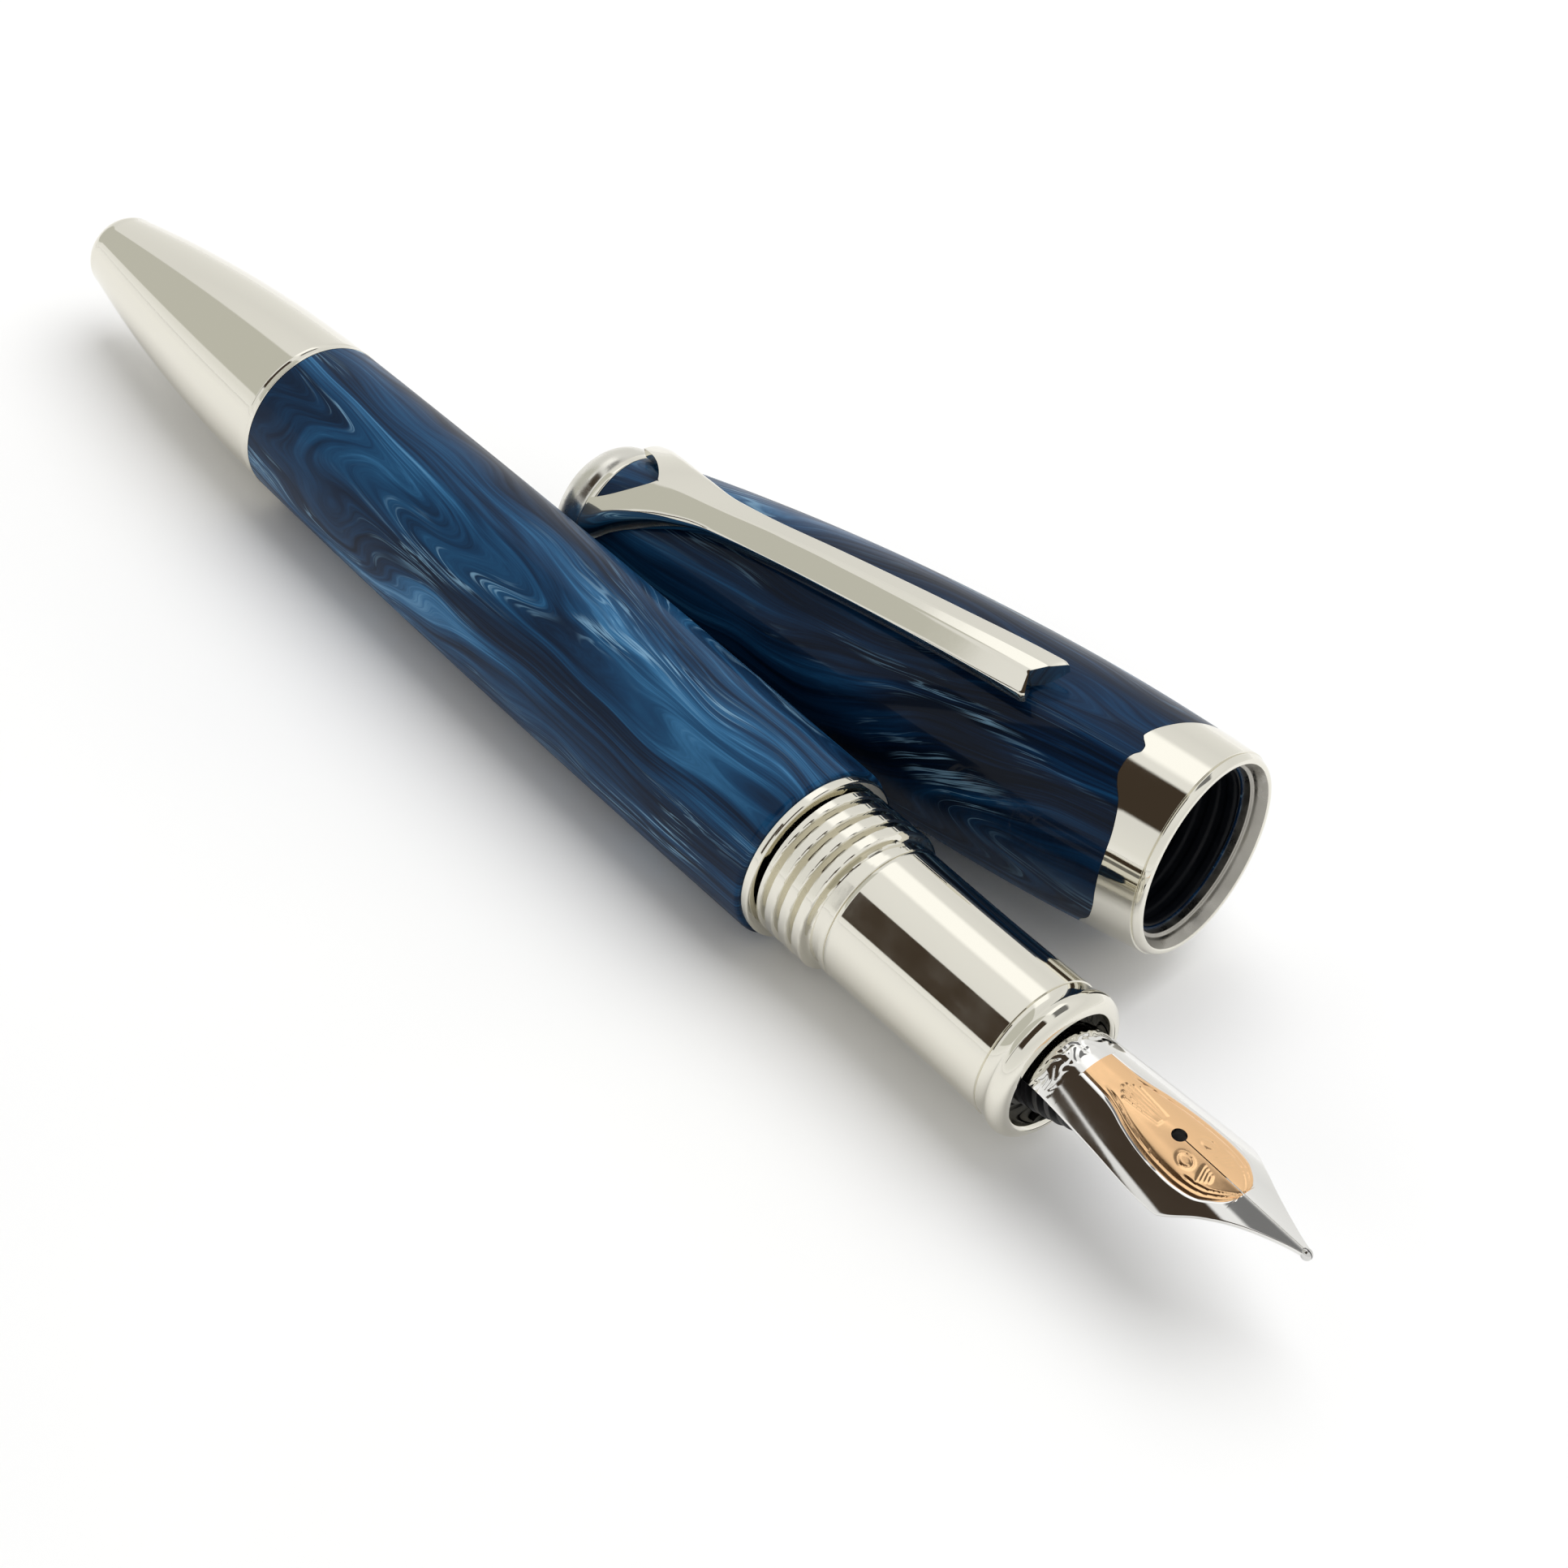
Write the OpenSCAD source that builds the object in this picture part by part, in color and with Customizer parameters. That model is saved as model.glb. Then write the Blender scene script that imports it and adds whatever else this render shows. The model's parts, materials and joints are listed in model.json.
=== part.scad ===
// Fountain pen, uncapped and lying on a table, with its cap lying beside it.
// The pen's axis is X and the nib points to +X. The origin is on that axis, at the front
// end of the barrel, where the rim of a fitted cap would stop. +Z is up.
// Each piece is turned about the X axis, unless its own comment says otherwise.

/* [Barrel] */
// Length of the resin barrel
barrel_len = 56; // [54:1:60]
// Radius of the barrel at its front end
barrel_front_r = 6.5; // [6.45:0.05:6.6]
// Largest radius of the barrel
barrel_max_r = 6.6; // [6.6:0.05:6.9]
// Radius of the barrel at the tail joint
barrel_rear_r = 6.16; // [6.1:0.02:6.3]
// Length of the tail cone before its rounded tip
tail_len = 25.5; // [24:0.5:28]
// Length of the rounded tip
tail_tip_len = 1.9; // [1:0.1:3]

/* [Section] */
// Radius of the ring that the cap's rim seats on
seat_r = 6.2; // [6.1:0.02:6.24]
// Length of that ring
seat_len = 0.7; // [0.6:0.05:0.9]
// Radius of the thread crests
crest_r = 5.65; // [5.5:0.05:5.7]
// Distance between thread crests
thread_pitch = 1.3; // [1.1:0.05:1.4]
// Radius of the grip at its rear end
grip_rear_r = 5.14; // [5.1:0.02:5.3]
// Radius of the grip at its front end
grip_front_r = 5.22; // [5.1:0.02:5.3]
// Place of the grip's front end along the pen
grip_end = 21; // [20:0.5:22]
// Largest radius of the rolled lip
lip_r = 5.45; // [5.3:0.05:5.6]

/* [Nib] */
// Place of the nib's tip along the pen
nib_tip_x = 43.3; // [42:0.1:44]
// Half the width of the nib at its shoulders
nib_half_w = 4.28; // [4:0.02:4.3]
// Thickness of the nib
nib_thick = 0.3; // [0.25:0.05:0.35]
// Turn of the nib towards -Y, as the pen lies
nib_roll = 6; // [0:1:15]

/* [Cap] */
// Length of the cap from its mouth to the finial
cap_len = 52.4; // [52:0.1:54]
// Radius of the cap at its mouth
cap_mouth_r = 7.42; // [7.4:0.02:7.5]
// Largest radius of the cap
cap_max_r = 8.13; // [8.1:0.01:8.3]
// Radius of the cap at the finial
cap_top_r = 5.3; // [5.2:0.05:5.5]
// Length of the finial's dome
finial_len = 3.9; // [3.6:0.1:4.5]
// Radius of the recess inside the cap's rim
rim_bore_r = 6.5; // [6.4:0.05:6.55]
// Place of the middle of the cap's mouth
mouth_x = 16.6; // [12:0.1:22]
// Distance of the cap's mouth from the pen's axis
mouth_y = 19.5; // [19.5:0.1:26]
// Rise of the cap towards its mouth, as it lies on its bulge
cap_lean = 4.5; // [4:0.1:5]
// Angle between the cap and the pen, seen from above
cap_swing = 7; // [6:0.1:8]
// Turn of the clip towards -Y, as the cap lies
cap_roll = 20.5; // [16:0.5:26]

/* [Clip] */
// Half the width of the clip at its free end
clip_end_half_w = 2; // [1.6:0.1:2.2]
// Height of the clip's top above the cap's axis at its free end
clip_end_h = 10.1; // [9.9:0.05:10.4]
// Distance of the clip's free end from the cap's mouth
clip_end_x = 12; // [11:0.1:13]

/* [Converter] */
// Radius of the ink tube
ink_tube_r = 3.5; // [3.4:0.05:3.5]
// Wall of the ink tube
ink_tube_wall = 0.5; // [0.4:0.05:0.6]
// Travel of the piston
piston_travel = 17; // [14:0.5:17]

/* [Hidden] */
$fn = 72;

eps = 0.01;
run_gap = 0.05;        // radial clearance of a running or screwed fit
groove_pitch = 1.2;    // of the plain grooves that stand for the barrel's screw thread
groove_w = 0.4;
table_z = -barrel_max_r;

// Barrel
bulge_x = -22;         // where the barrel is thickest
liner_r = 5.7;         // outer radius of the threaded bush in the barrel's mouth
liner_bore_r = 5;
liner_front = -0.4;
liner_rear = -9.6;
barrel_bore_r = 5.2;
tail_joint_x = -barrel_len;
tail_ring_len = 0.5;
tail_front = tail_joint_x - tail_ring_len;
tail_base_r = 6.16;
insert_bore_r = 3.95;
insert_tail_r = 4.9;
insert_front = tail_joint_x + 7;
insert_rear = tail_front - 6.5;
tail_hollow_r = 3.5;
tail_hollow_end = tail_front - 12;

// Section
core_r = 4.6;          // radius of the core under the metal sleeves
core_bore_r = 4.1;
core_front = 21.4;
bulkhead_rear = 2;
bulkhead_front = 5;
spigot_rear = -9;
spigot_bore_r = 4;
nipple_rear = -6;
nipple_r = 2.3;
ink_channel_r = 1.6;
collar_end = 6.9;
root_r = 5.2;
first_crest = 1.75;
crests = 4;
lip_end = 23.4;

// Nib unit
housing_rear = 6.2;
housing_front = 21.2;
nib_base_r = 3.5;
nib_rear = 8;
nib_front_r = 7.6;     // radius of the nib's surface at the tip, where it is almost flat
nib_tip_z = 2.6;
nib_bend_x = 22;       // the nib is a cylinder behind this and a cone in front
nib_bend_z = 3.55;
shoulder_x = 35;
hole_x = 32.7;
hole_r = 0.5;
slit_w = 0.08;
feed_r = nib_base_r - nib_thick - run_gap;
feed_tip_x = 37.5;
fin_pitch = 0.9;
fin_gap = 0.4;

// Converter
mouth_r = 3.8;
mouth_front = -0.3;
mouth_rear = -7.5;
ink_bore_r = ink_tube_r - ink_tube_wall;
seal_front = -12;
seal_rear = -16;
nut_front = seal_rear - piston_travel - 0.5;
ink_tube_rear = nut_front - 2.5;
nut_rear = ink_tube_rear - 3.5;
collar_front = ink_tube_rear + 4;
collar_rear = nut_rear - 4.5;
rod_r = 1.5;
rod_bore_r = 0.9;
rod_front = seal_front - 1.5;
rod_rear = -35.5;
knob_front = collar_rear - 0.4;
knob_rear = rod_rear - piston_travel - 2.7;
knob_r = 3.2;
knob_bore_r = 1.65;
spindle_r = 0.8;
spindle_front = rod_front - piston_travel - 0.5;
ball_r = 0.9;

// Cap, in its own frame: mouth at x = 0, finial at negative x, clip on the +Z side
cap_bulge = 0.3;       // where the cap is thickest, as a share of its length
sleeve_bore_r = 6.05;
sleeve_bore_end = -25.5;
inner_cap_r = 4.9;
inner_cap_bore_r = 4.45;
inner_cap_end = -47.4;
wall_x = -49.4;        // inner face of the wall under the finial
stud_r = 1.5;
nut_r = 3;
band_in_r = 6.9;
step_r = 6.19;
rim_depth = 1;
step_depth = 1.6;
band_peak = 5.6;       // length of the band at the tip of its wave
band_left = 3.6;       // and at its sides
band_right = 3.3;
band_roll = -26;       // turn of the wave from the clip
ring_thick = 0.6;
ring_x = -cap_len;
clip_gap = 0.2;        // space between the clip and the cap's sleeve
clip_thick = 0.9;
clip_vee = 1.2;        // depth of the vee in its free end
keel_z = 8;            // height of the keel's foot above the cap's axis, before the gap is cut
clip_head = 0.3 - cap_len;   // x of the clip's rear edge

// Radius of the barrel at x
function barrel_r(x) =
    x > bulge_x
    ? barrel_max_r - (barrel_max_r - barrel_front_r) * pow((x - bulge_x) / bulge_x, 2)
    : barrel_max_r - (barrel_max_r - barrel_rear_r) * pow((bulge_x - x) / (barrel_len + bulge_x), 2);

// Radius of the tail at u, from 0 at its joint to 1 at the start of the rounded tip
function tail_r(u) = tail_base_r * (1 - 0.098 * u - 0.395 * u * u);

// Radius of the cap at a share t of its length
function cap_r(t) =
    t < cap_bulge
    ? cap_max_r - (cap_max_r - cap_mouth_r) * pow((cap_bulge - t) / cap_bulge, 2)
    : cap_max_r - (cap_max_r - cap_top_r) * pow((t - cap_bulge) / (1 - cap_bulge), 2);

function steps(n) = [for (i = [0:n]) i / n];

// Height of the cap's mouth at which its bulge just rests on the table
cap_reach = [for (t = steps(60)) cap_r(t) * cos(cap_lean) + t * cap_len * sin(cap_lean)];
mouth_z = table_z + max(cap_reach) + 0.02;

// A profile of [radius, x] points turned about the X axis
module turned(points) {
    rotate([0, 90, 0]) rotate_extrude() polygon(points);
}

module rod(x0, x1, r) {
    turned([[0, x0], [r, x0], [r, x1], [0, x1]]);
}

module tube(x0, x1, r_out, r_in) {
    turned([[r_in, x0], [r_out, x0], [r_out, x1], [r_in, x1]]);
}

// A ring of round section
module bead(x, r, bead_r) {
    rotate([0, 90, 0]) rotate_extrude() translate([r, x]) circle(bead_r, $fn = 24);
}

module place_cap() {
    translate([mouth_x, mouth_y, mouth_z]) rotate([cap_roll, -cap_lean, cap_swing]) children();
}

// ---- Section ----

// Bright ring that stops the cap's rim
module section_ring() color("gainsboro") {
    bevel = 0.05;
    turned([
        [core_r, 0], [seat_r, 0], [seat_r, seat_len - bevel],
        [seat_r - bevel, seat_len], [core_r, seat_len]
    ]);
}

// Metal collar with the rounded crests that the cap screws onto
module thread_collar() color("gainsboro") {
    crest_bead_r = 0.5;
    tube(seat_len, collar_end, root_r - 0.06, core_r);
    for (i = [0:crests - 1])
        intersection() {
            bead(first_crest + i * thread_pitch, crest_r - crest_bead_r, crest_bead_r);
            tube(seat_len, collar_end, crest_r, root_r - 0.2);
        }
}

// Polished grip with a slight waist
module grip_sleeve() color("gainsboro") {
    waist = 0.06;
    length = grip_end - collar_end;
    outer = [for (u = steps(12))
        [grip_rear_r + (grip_front_r - grip_rear_r) * u - waist * sin(180 * u), collar_end + length * u]];
    turned(concat([[core_r, collar_end]], outer, [[core_r, grip_end]]));
}

// Rolled lip round the nib's opening, black inside
module lip_ring() color("gainsboro") {
    mouth_in_r = 4.55;
    length = lip_end - grip_end;
    roll = [for (a = [-60:15:90]) [
        lip_r - 0.95 + 0.95 * cos(a), lip_end - 0.95 + 0.95 * sin(a)]];
    turned(concat([[core_r, grip_end], [grip_front_r - 0.08, grip_end]], roll,
        [[mouth_in_r, lip_end], [core_r, grip_end + length * 0.4]]));
}

// Moulded core: rear spigot that screws into the barrel, nipple for the converter, nib bore
module section_core() color("#202022") {
    groove_r = 4.85;
    groove_count = 6;
    spigot_r = liner_bore_r - run_gap;
    difference() {
        union() {
            tube(spigot_rear, 0, spigot_r, spigot_bore_r);
            rod(0, core_front, core_r);
            rod(nipple_rear, 0, nipple_r);
        }
        rod(nipple_rear - 1, bulkhead_front + 1, ink_channel_r);
        rod(bulkhead_front, core_front + 1, core_bore_r);
        tube(-eps, bulkhead_rear, spigot_bore_r, nipple_r);
        for (i = [0:groove_count - 1])
            translate([-groove_pitch * (i + 1), 0, 0]) tube(-groove_w, 0, spigot_r + 1, groove_r);
    }
}

// ---- Nib unit ----

module nib_housing() color("#262628") {
    tube(housing_rear, housing_front, core_bore_r - run_gap, nib_base_r + run_gap);
}

// Solid below the nib's upper surface, or below a surface inside it by an inset: behind the
// bend it is a cylinder, and in front a cone that opens and dips towards the tip
module under_nib(inset) {
    run = nib_tip_x - nib_bend_x;
    front_axis_z = nib_tip_z - nib_front_r;
    bend_axis_z = nib_bend_z - nib_base_r;
    dip = atan2(bend_axis_z - front_axis_z, run);
    cone_len = run / cos(dip);
    past = 1.15;
    spread = nib_front_r - nib_base_r;
    rod(nib_rear - 1, nib_bend_x + 0.2, nib_base_r - inset);
    translate([nib_bend_x, 0, bend_axis_z]) rotate([0, dip, 0])
        turned([
            [0, -0.2], [nib_base_r - inset, -0.2], [nib_base_r - inset, 0],
            [nib_base_r + spread * past - inset, cone_len * past], [0, cone_len * past]
        ]);
}

// Half outline of the nib in plan, from its rear to its tip
nib_half = [
    [nib_rear, 3.3], [nib_bend_x, 3.34], [shoulder_x - 0.4, nib_half_w],
    [shoulder_x + 0.3, nib_half_w - 0.06], [shoulder_x + 0.8, 3.95],
    [shoulder_x + 2.2, 3.05], [shoulder_x + 3.6, 2.2], [shoulder_x + 5, 1.45],
    [shoulder_x + 6.5, 0.85], [nib_tip_x - 0.5, 0.42], [nib_tip_x - 0.2, 0.3]
];

// Curved sheet with a breather hole and a slit
module nib() color("gainsboro") {
    mirrored = [for (i = [len(nib_half) - 1:-1:0]) [nib_half[i][0], -nib_half[i][1]]];
    rotate([nib_roll, 0, 0])
        difference() {
            intersection() {
                linear_extrude(8) polygon(concat(nib_half, mirrored));
                difference() {
                    under_nib(0);
                    under_nib(nib_thick);
                }
            }
            translate([hole_x, 0, 0]) cylinder(r = hole_r, h = 8);
            translate([hole_x, -slit_w / 2, 0]) cube([nib_tip_x, slit_w, 8]);
        }
}

// Two hard halves at the nib's tip, one on each side of the slit
module nib_tipping() color("silver") {
    tip_r = 0.42;
    rotate([nib_roll, 0, 0])
        difference() {
            translate([nib_tip_x - tip_r + 0.2, 0, nib_tip_z - 0.25]) sphere(tip_r, $fn = 32);
            translate([0, -slit_w / 2, 0]) cube([nib_tip_x + 1, slit_w, 8]);
            difference() {
                translate([nib_tip_x - 2, -2, 0]) cube([1.8, 4, 8]);
                under_nib(nib_thick);
            }
        }
}

// Finned ink feed under the nib, with a post that reaches through the bulkhead
module feed() color("#18181a") {
    post_r = ink_channel_r - run_gap;
    seat_step = nib_base_r - 0.02;
    belly_rise = 3.1;
    nose_len = feed_tip_x - nib_bend_x;
    fins = 11;
    rotate([nib_roll, 0, 0]) {
        turned([
            [0, -4], [post_r, -4], [post_r, housing_rear], [feed_r, housing_rear],
            [feed_r, nib_bend_x], [0, nib_bend_x]
        ]);
        intersection() {
            rod(nib_rear, nib_bend_x, seat_step);
            translate([nib_rear - 1, -5, -8.1]) cube([nib_bend_x, 10, 8]);
        }
        // The fins stop at a flat that lies below the nib's inner surface
        intersection() {
            translate([nib_bend_x, 0, 0]) rotate([0, -atan2(belly_rise, nose_len), 0])
                turned(concat([[0, -0.2]], [for (i = [0:fins - 1]) each fin_step(i)],
                    [[0.5, nose_len], [0, nose_len]]));
            translate([nib_bend_x - 1, -5, -6]) rotate([0, -1.8, 0]) cube([20, 10, 7.8]);
        }
    }
}

// Outline of one fin and of the gap behind it
function fin_step(i) = [
    [feed_r - 0.02 * i * i, i * fin_pitch - (i == 0 ? 0.2 : 0)],
    [feed_r - 0.02 * i * i, i * fin_pitch + fin_gap],
    [feed_r - 0.7 - i * fin_pitch * 0.13, i * fin_pitch + fin_gap],
    [feed_r - 0.7 - (i + 1) * fin_pitch * 0.13, (i + 1) * fin_pitch]
];

// ---- Converter ----

module converter_mouth() color("#202022") {
    plug_rear = mouth_rear - 1.5;
    socket_rear = nipple_rear - 0.4;
    turned([
        [nipple_r + run_gap, mouth_front], [mouth_r, mouth_front], [mouth_r, mouth_rear],
        [ink_bore_r, mouth_rear], [ink_bore_r, plug_rear], [ink_channel_r, plug_rear],
        [ink_channel_r, socket_rear], [nipple_r + run_gap, socket_rear]
    ]);
}

module converter_tube() color("lightblue", 0.5) {
    tube(ink_tube_rear, mouth_rear, ink_tube_r, ink_bore_r);
}

module converter_collar() color("gainsboro") {
    turned([
        [ink_tube_r, collar_front], [mouth_r - 0.1, collar_front], [mouth_r, collar_front - 0.3],
        [mouth_r, collar_rear + 0.3], [mouth_r - 0.3, collar_rear], [rod_r + 0.4, collar_rear],
        [rod_r + 0.4, nut_rear], [ink_tube_r, nut_rear]
    ]);
}

// Bush that keeps the piston rod from turning
module converter_nut() color("goldenrod") {
    bore_r = rod_r + run_gap;
    tube(ink_tube_rear, nut_front, ink_bore_r, bore_r);
    tube(nut_rear, ink_tube_rear, ink_tube_r, bore_r);
}

// Loose steel ball that keeps the ink moving
module agitator_ball() color("silver") {
    translate([-10.5, 0, -ink_bore_r + ball_r + 0.02]) sphere(ball_r, $fn = 32);
}

module piston_seal() color("#303034") {
    wipe_r = ink_bore_r - 0.03;
    waist_r = ink_bore_r - 0.35;
    turned([
        [0, seal_front], [wipe_r - 0.2, seal_front], [wipe_r, seal_front - 0.3],
        [wipe_r, seal_front - 0.9], [waist_r, seal_front - 1.2], [waist_r, seal_rear + 1.2],
        [wipe_r, seal_rear + 0.9], [wipe_r, seal_rear], [rod_r, seal_rear], [rod_r, rod_front],
        [0, rod_front]
    ]);
}

module piston_rod() color("white") {
    tube(rod_rear, rod_front, rod_r, rod_bore_r);
}

// Knob with shallow grip flutes
module converter_knob() color("#202022") {
    flutes = 16;
    difference() {
        turned([
            [0, knob_rear], [knob_r - 0.4, knob_rear], [knob_r, knob_rear + 0.4],
            [knob_r, knob_front - 0.3], [knob_r - 0.3, knob_front], [knob_bore_r, knob_front],
            [knob_bore_r, knob_rear + 1.2], [0, knob_rear + 1.2]
        ]);
        for (i = [0:flutes - 1])
            rotate([i * 360 / flutes, 0, 0]) translate([knob_rear + 1.5, 0, knob_r + 0.1])
                rotate([0, 90, 0]) cylinder(r = 0.3, h = 8, $fn = 16);
    }
}

// Screw that the knob turns inside the piston rod
module spindle() color("goldenrod") {
    rod(knob_rear + 1.2, spindle_front, spindle_r);
}

// ---- Barrel ----

module barrel_o_ring() color("#1a1a1a") {
    bead(liner_rear - 0.7, 4.72, 0.4);
}

module barrel_sleeve() color("#1f4a73") {
    round_r = 0.25;
    count = 36;
    front = [
        [liner_r, 0], [barrel_front_r - round_r, 0],
        [barrel_front_r - round_r * 0.3, -round_r * 0.3]
    ];
    outer = [for (t = steps(count)) let (x = -round_r - (barrel_len - round_r) * t) [barrel_r(x), x]];
    turned(concat(front, outer, [
        [barrel_bore_r, tail_joint_x], [barrel_bore_r, liner_rear], [liner_r, liner_rear]
    ]));
}

// Threaded bush in the barrel's mouth
module barrel_liner() color("goldenrod") {
    groove_count = 6;
    difference() {
        tube(liner_rear, liner_front, liner_r, liner_bore_r);
        for (i = [0:groove_count - 1])
            translate([-groove_pitch * (i + 1.5), 0, 0])
                tube(-groove_w, 0, liner_bore_r + 0.1, liner_bore_r - 1);
    }
}

module tail_ring() color("gainsboro") {
    proud = 0.04;
    tube(tail_front, tail_joint_x, barrel_rear_r + proud, insert_tail_r);
}

// Polished metal end of the barrel
module tail_cone() color("gainsboro") {
    count = 20;
    tip_x = tail_front - tail_len;
    body = [for (u = steps(count)) [tail_r(u), tail_front - tail_len * u]];
    tip = [for (a = [15:15:90]) [tail_r(1) * cos(a), tip_x - tail_tip_len * sin(a)]];
    turned(concat([[insert_tail_r, tail_front]], body, tip,
        [[0, tail_hollow_end], [tail_hollow_r, tail_hollow_end],
        [tail_hollow_r, insert_rear], [insert_tail_r, insert_rear]]));
}

// Threaded tube that joins the tail to the barrel
module tail_insert() color("#202022") {
    turned([
        [insert_bore_r, insert_front], [barrel_bore_r, insert_front], [barrel_bore_r, tail_joint_x],
        [insert_tail_r, tail_joint_x], [insert_tail_r, insert_rear], [insert_bore_r, insert_rear]
    ]);
}

// ---- Cap ----

// Everything under the cap's outer surface, grown by an amount
module cap_form(grow) {
    count = 48;
    outer = [for (t = steps(count)) [cap_r(t) + grow, -cap_len * t]];
    turned(concat([[0, 0]], outer, [[0, -cap_len]]));
}

// Plan of the band, the same above and below: a wave that rises slowly to its tip, then drops
// to a second, lower tip
band_plan = [
    [1, -10], [-band_left, -10], [-band_left, -7.4], [-band_left - 0.25, -6.7],
    [-band_left - 0.65, -6.2], [-band_peak + 0.7, -5.6], [-band_peak + 0.35, -5.1],
    [-band_peak + 0.26, -4.3], [-band_peak + 0.7, -3.45], [-band_peak, -2.4],
    [-band_peak + 0.7, 0], [-band_peak + 1.4, 2.1], [-band_right - 0.25, 4],
    [-band_right, 5.2], [-band_right, 10], [1, 10]
];

module band_zone() {
    rotate([band_roll, 0, 0])
        linear_extrude(24, center = true) polygon(band_plan);
}

module cap_sleeve() color("#1f4a73") {
    place_cap() difference() {
        cap_form(0);
        intersection() {
            band_zone();
            tube(-6, 1, 9, band_in_r);
        }
        rod(-step_depth, 1, 9);
        rod(sleeve_bore_end, 0, sleeve_bore_r);
        rod(wall_x, 0, inner_cap_r);
        rod(-cap_len - 1, 0, stud_r);
    }
}

module cap_band() color("gainsboro") {
    lip_round = 0.45;
    chamfer = 0.35;
    place_cap() {
        intersection() {
            cap_form(0.03);
            band_zone();
            tube(-6, -step_depth, 9, band_in_r);
        }
        turned([
            [step_r, -step_depth], [cap_r(step_depth / cap_len) + 0.03, -step_depth],
            [cap_mouth_r + 0.03, -lip_round], [cap_mouth_r - 0.13, -0.13], [cap_mouth_r - lip_round, 0],
            [rim_bore_r + chamfer, 0], [rim_bore_r, -0.8], [rim_bore_r, -rim_depth], [step_r, -rim_depth]
        ]);
    }
}

// Threaded bush inside the mouth that takes the section's crests
module cap_thread_ring() color("#16283c") {
    bush_bore_r = 5.75;
    bush_rear = -7.4;
    groove_count = 4;
    place_cap() difference() {
        tube(bush_rear, -step_depth - 0.1, sleeve_bore_r, bush_bore_r);
        for (i = [0:groove_count - 1])
            translate([-2.4 - i * thread_pitch, 0, 0])
                tube(-0.5, 0, bush_bore_r + 0.15, bush_bore_r - 1);
    }
}

// Liner that seals round the nib
module inner_cap() color("#16181c") {
    end_wall = 1;
    place_cap() turned([
        [inner_cap_bore_r, sleeve_bore_end], [inner_cap_r, sleeve_bore_end], [inner_cap_r, inner_cap_end],
        [0, inner_cap_end], [0, inner_cap_end + end_wall], [inner_cap_bore_r, inner_cap_end + end_wall]
    ]);
}

module finial() color("gainsboro") {
    base_x = ring_x - ring_thick;
    base_r = cap_top_r + 0.05;
    base_len = 1;
    dome = [for (a = [0:6:90]) [base_r * cos(a), base_x - base_len - (finial_len - base_len) * sin(a)]];
    place_cap() turned(concat([[stud_r, base_x], [base_r - 0.15, base_x], [base_r, base_x - 0.15]], dome,
        [[0, base_x - 2.5], [stud_r, base_x - 2.5]]));
}

// Screw that holds the finial, the clip ring and the sleeve together
module finial_stud() color("silver") {
    place_cap() rod(ring_x - ring_thick - 2.5, wall_x + 1.5, stud_r);
}

module finial_nut() color("goldenrod") {
    place_cap() tube(wall_x, wall_x + 1.5, nut_r, stud_r);
}

// Washer under the finial that the clip springs from
module clip_ring() color("gainsboro") {
    place_cap() tube(ring_x - ring_thick, ring_x, cap_top_r + 0.02, stud_r);
}

// Side view of the clip, as [x, z] points along its top
clip_top = [
    [clip_head, 5.6], [clip_head + 1.4, 6.5], [clip_head + 3.4, 7.3], [clip_head + 5.9, 7.75],
    [clip_head + 9.9, 8.0], [clip_head + 13.9, 8.3], [-31.5, 9.0], [-21.6, 9.75],
    [-clip_end_x - 2, clip_end_h - 0.02], [-clip_end_x, clip_end_h]
];

// Half outline of the clip in plan. Its free end is cut in a shallow vee.
clip_half = [
    [clip_head, 5], [clip_head + 2.8, 3.9], [clip_head + 7.2, 2.45], [clip_head + 10.9, 1.7],
    [clip_head + 14.9, 1.6], [-30, 1.7], [-21, 1.85], [-clip_end_x - 0.5, clip_end_half_w],
    [-clip_end_x, clip_end_half_w - 0.4]
];

// Spring blade with a forked head that straddles the cap's top, and a keel under its free end
module clip() color("gainsboro") {
    mirrored = [for (i = [len(clip_half) - 1:-1:0]) [clip_half[i][0], -clip_half[i][1]]];
    keel = [[-clip_end_x, keel_z], [-clip_end_x - 3.4, keel_z]];
    under = [for (i = [len(clip_top) - 3:-1:4]) [clip_top[i][0], clip_top[i][1] - clip_thick]];
    crown = [
        [0, clip_head], [6.4, clip_head], [7.6, clip_head + 4.4], [8.2, clip_head + 9.4],
        [9, clip_head + 15.4], [9.6, -28], [10.6, -19], [10.6, -11], [0, -11]
    ];
    notch_len = 5.4;
    place_cap() difference() {
        intersection() {
            linear_extrude(14)
                polygon(concat(clip_half, [[-clip_end_x - clip_vee, 0]], mirrored));
            rotate([90, 0, 0]) linear_extrude(14, center = true)
                polygon(concat(clip_top, keel, under, [[clip_head + 6.4, 3.2], [clip_head, 3.2]]));
            turned(crown);
        }
        cap_form(clip_gap);
        // Crescent between the two legs
        translate([clip_head - 1, 0, 0]) scale([1, 0.55, 1]) cylinder(r = notch_len, h = 14);
    }
}

section_ring();
thread_collar();
grip_sleeve();
lip_ring();
section_core();
nib_housing();
nib();
nib_tipping();
feed();
converter_mouth();
converter_tube();
converter_collar();
converter_nut();
agitator_ball();
piston_seal();
piston_rod();
converter_knob();
spindle();
barrel_o_ring();
barrel_sleeve();
barrel_liner();
tail_ring();
tail_cone();
tail_insert();
cap_sleeve();
cap_band();
cap_thread_ring();
inner_cap();
finial();
finial_stud();
finial_nut();
clip_ring();
clip();
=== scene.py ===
import json
import math

import bmesh
import bpy
from mathutils import Matrix, Quaternion, Vector


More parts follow.
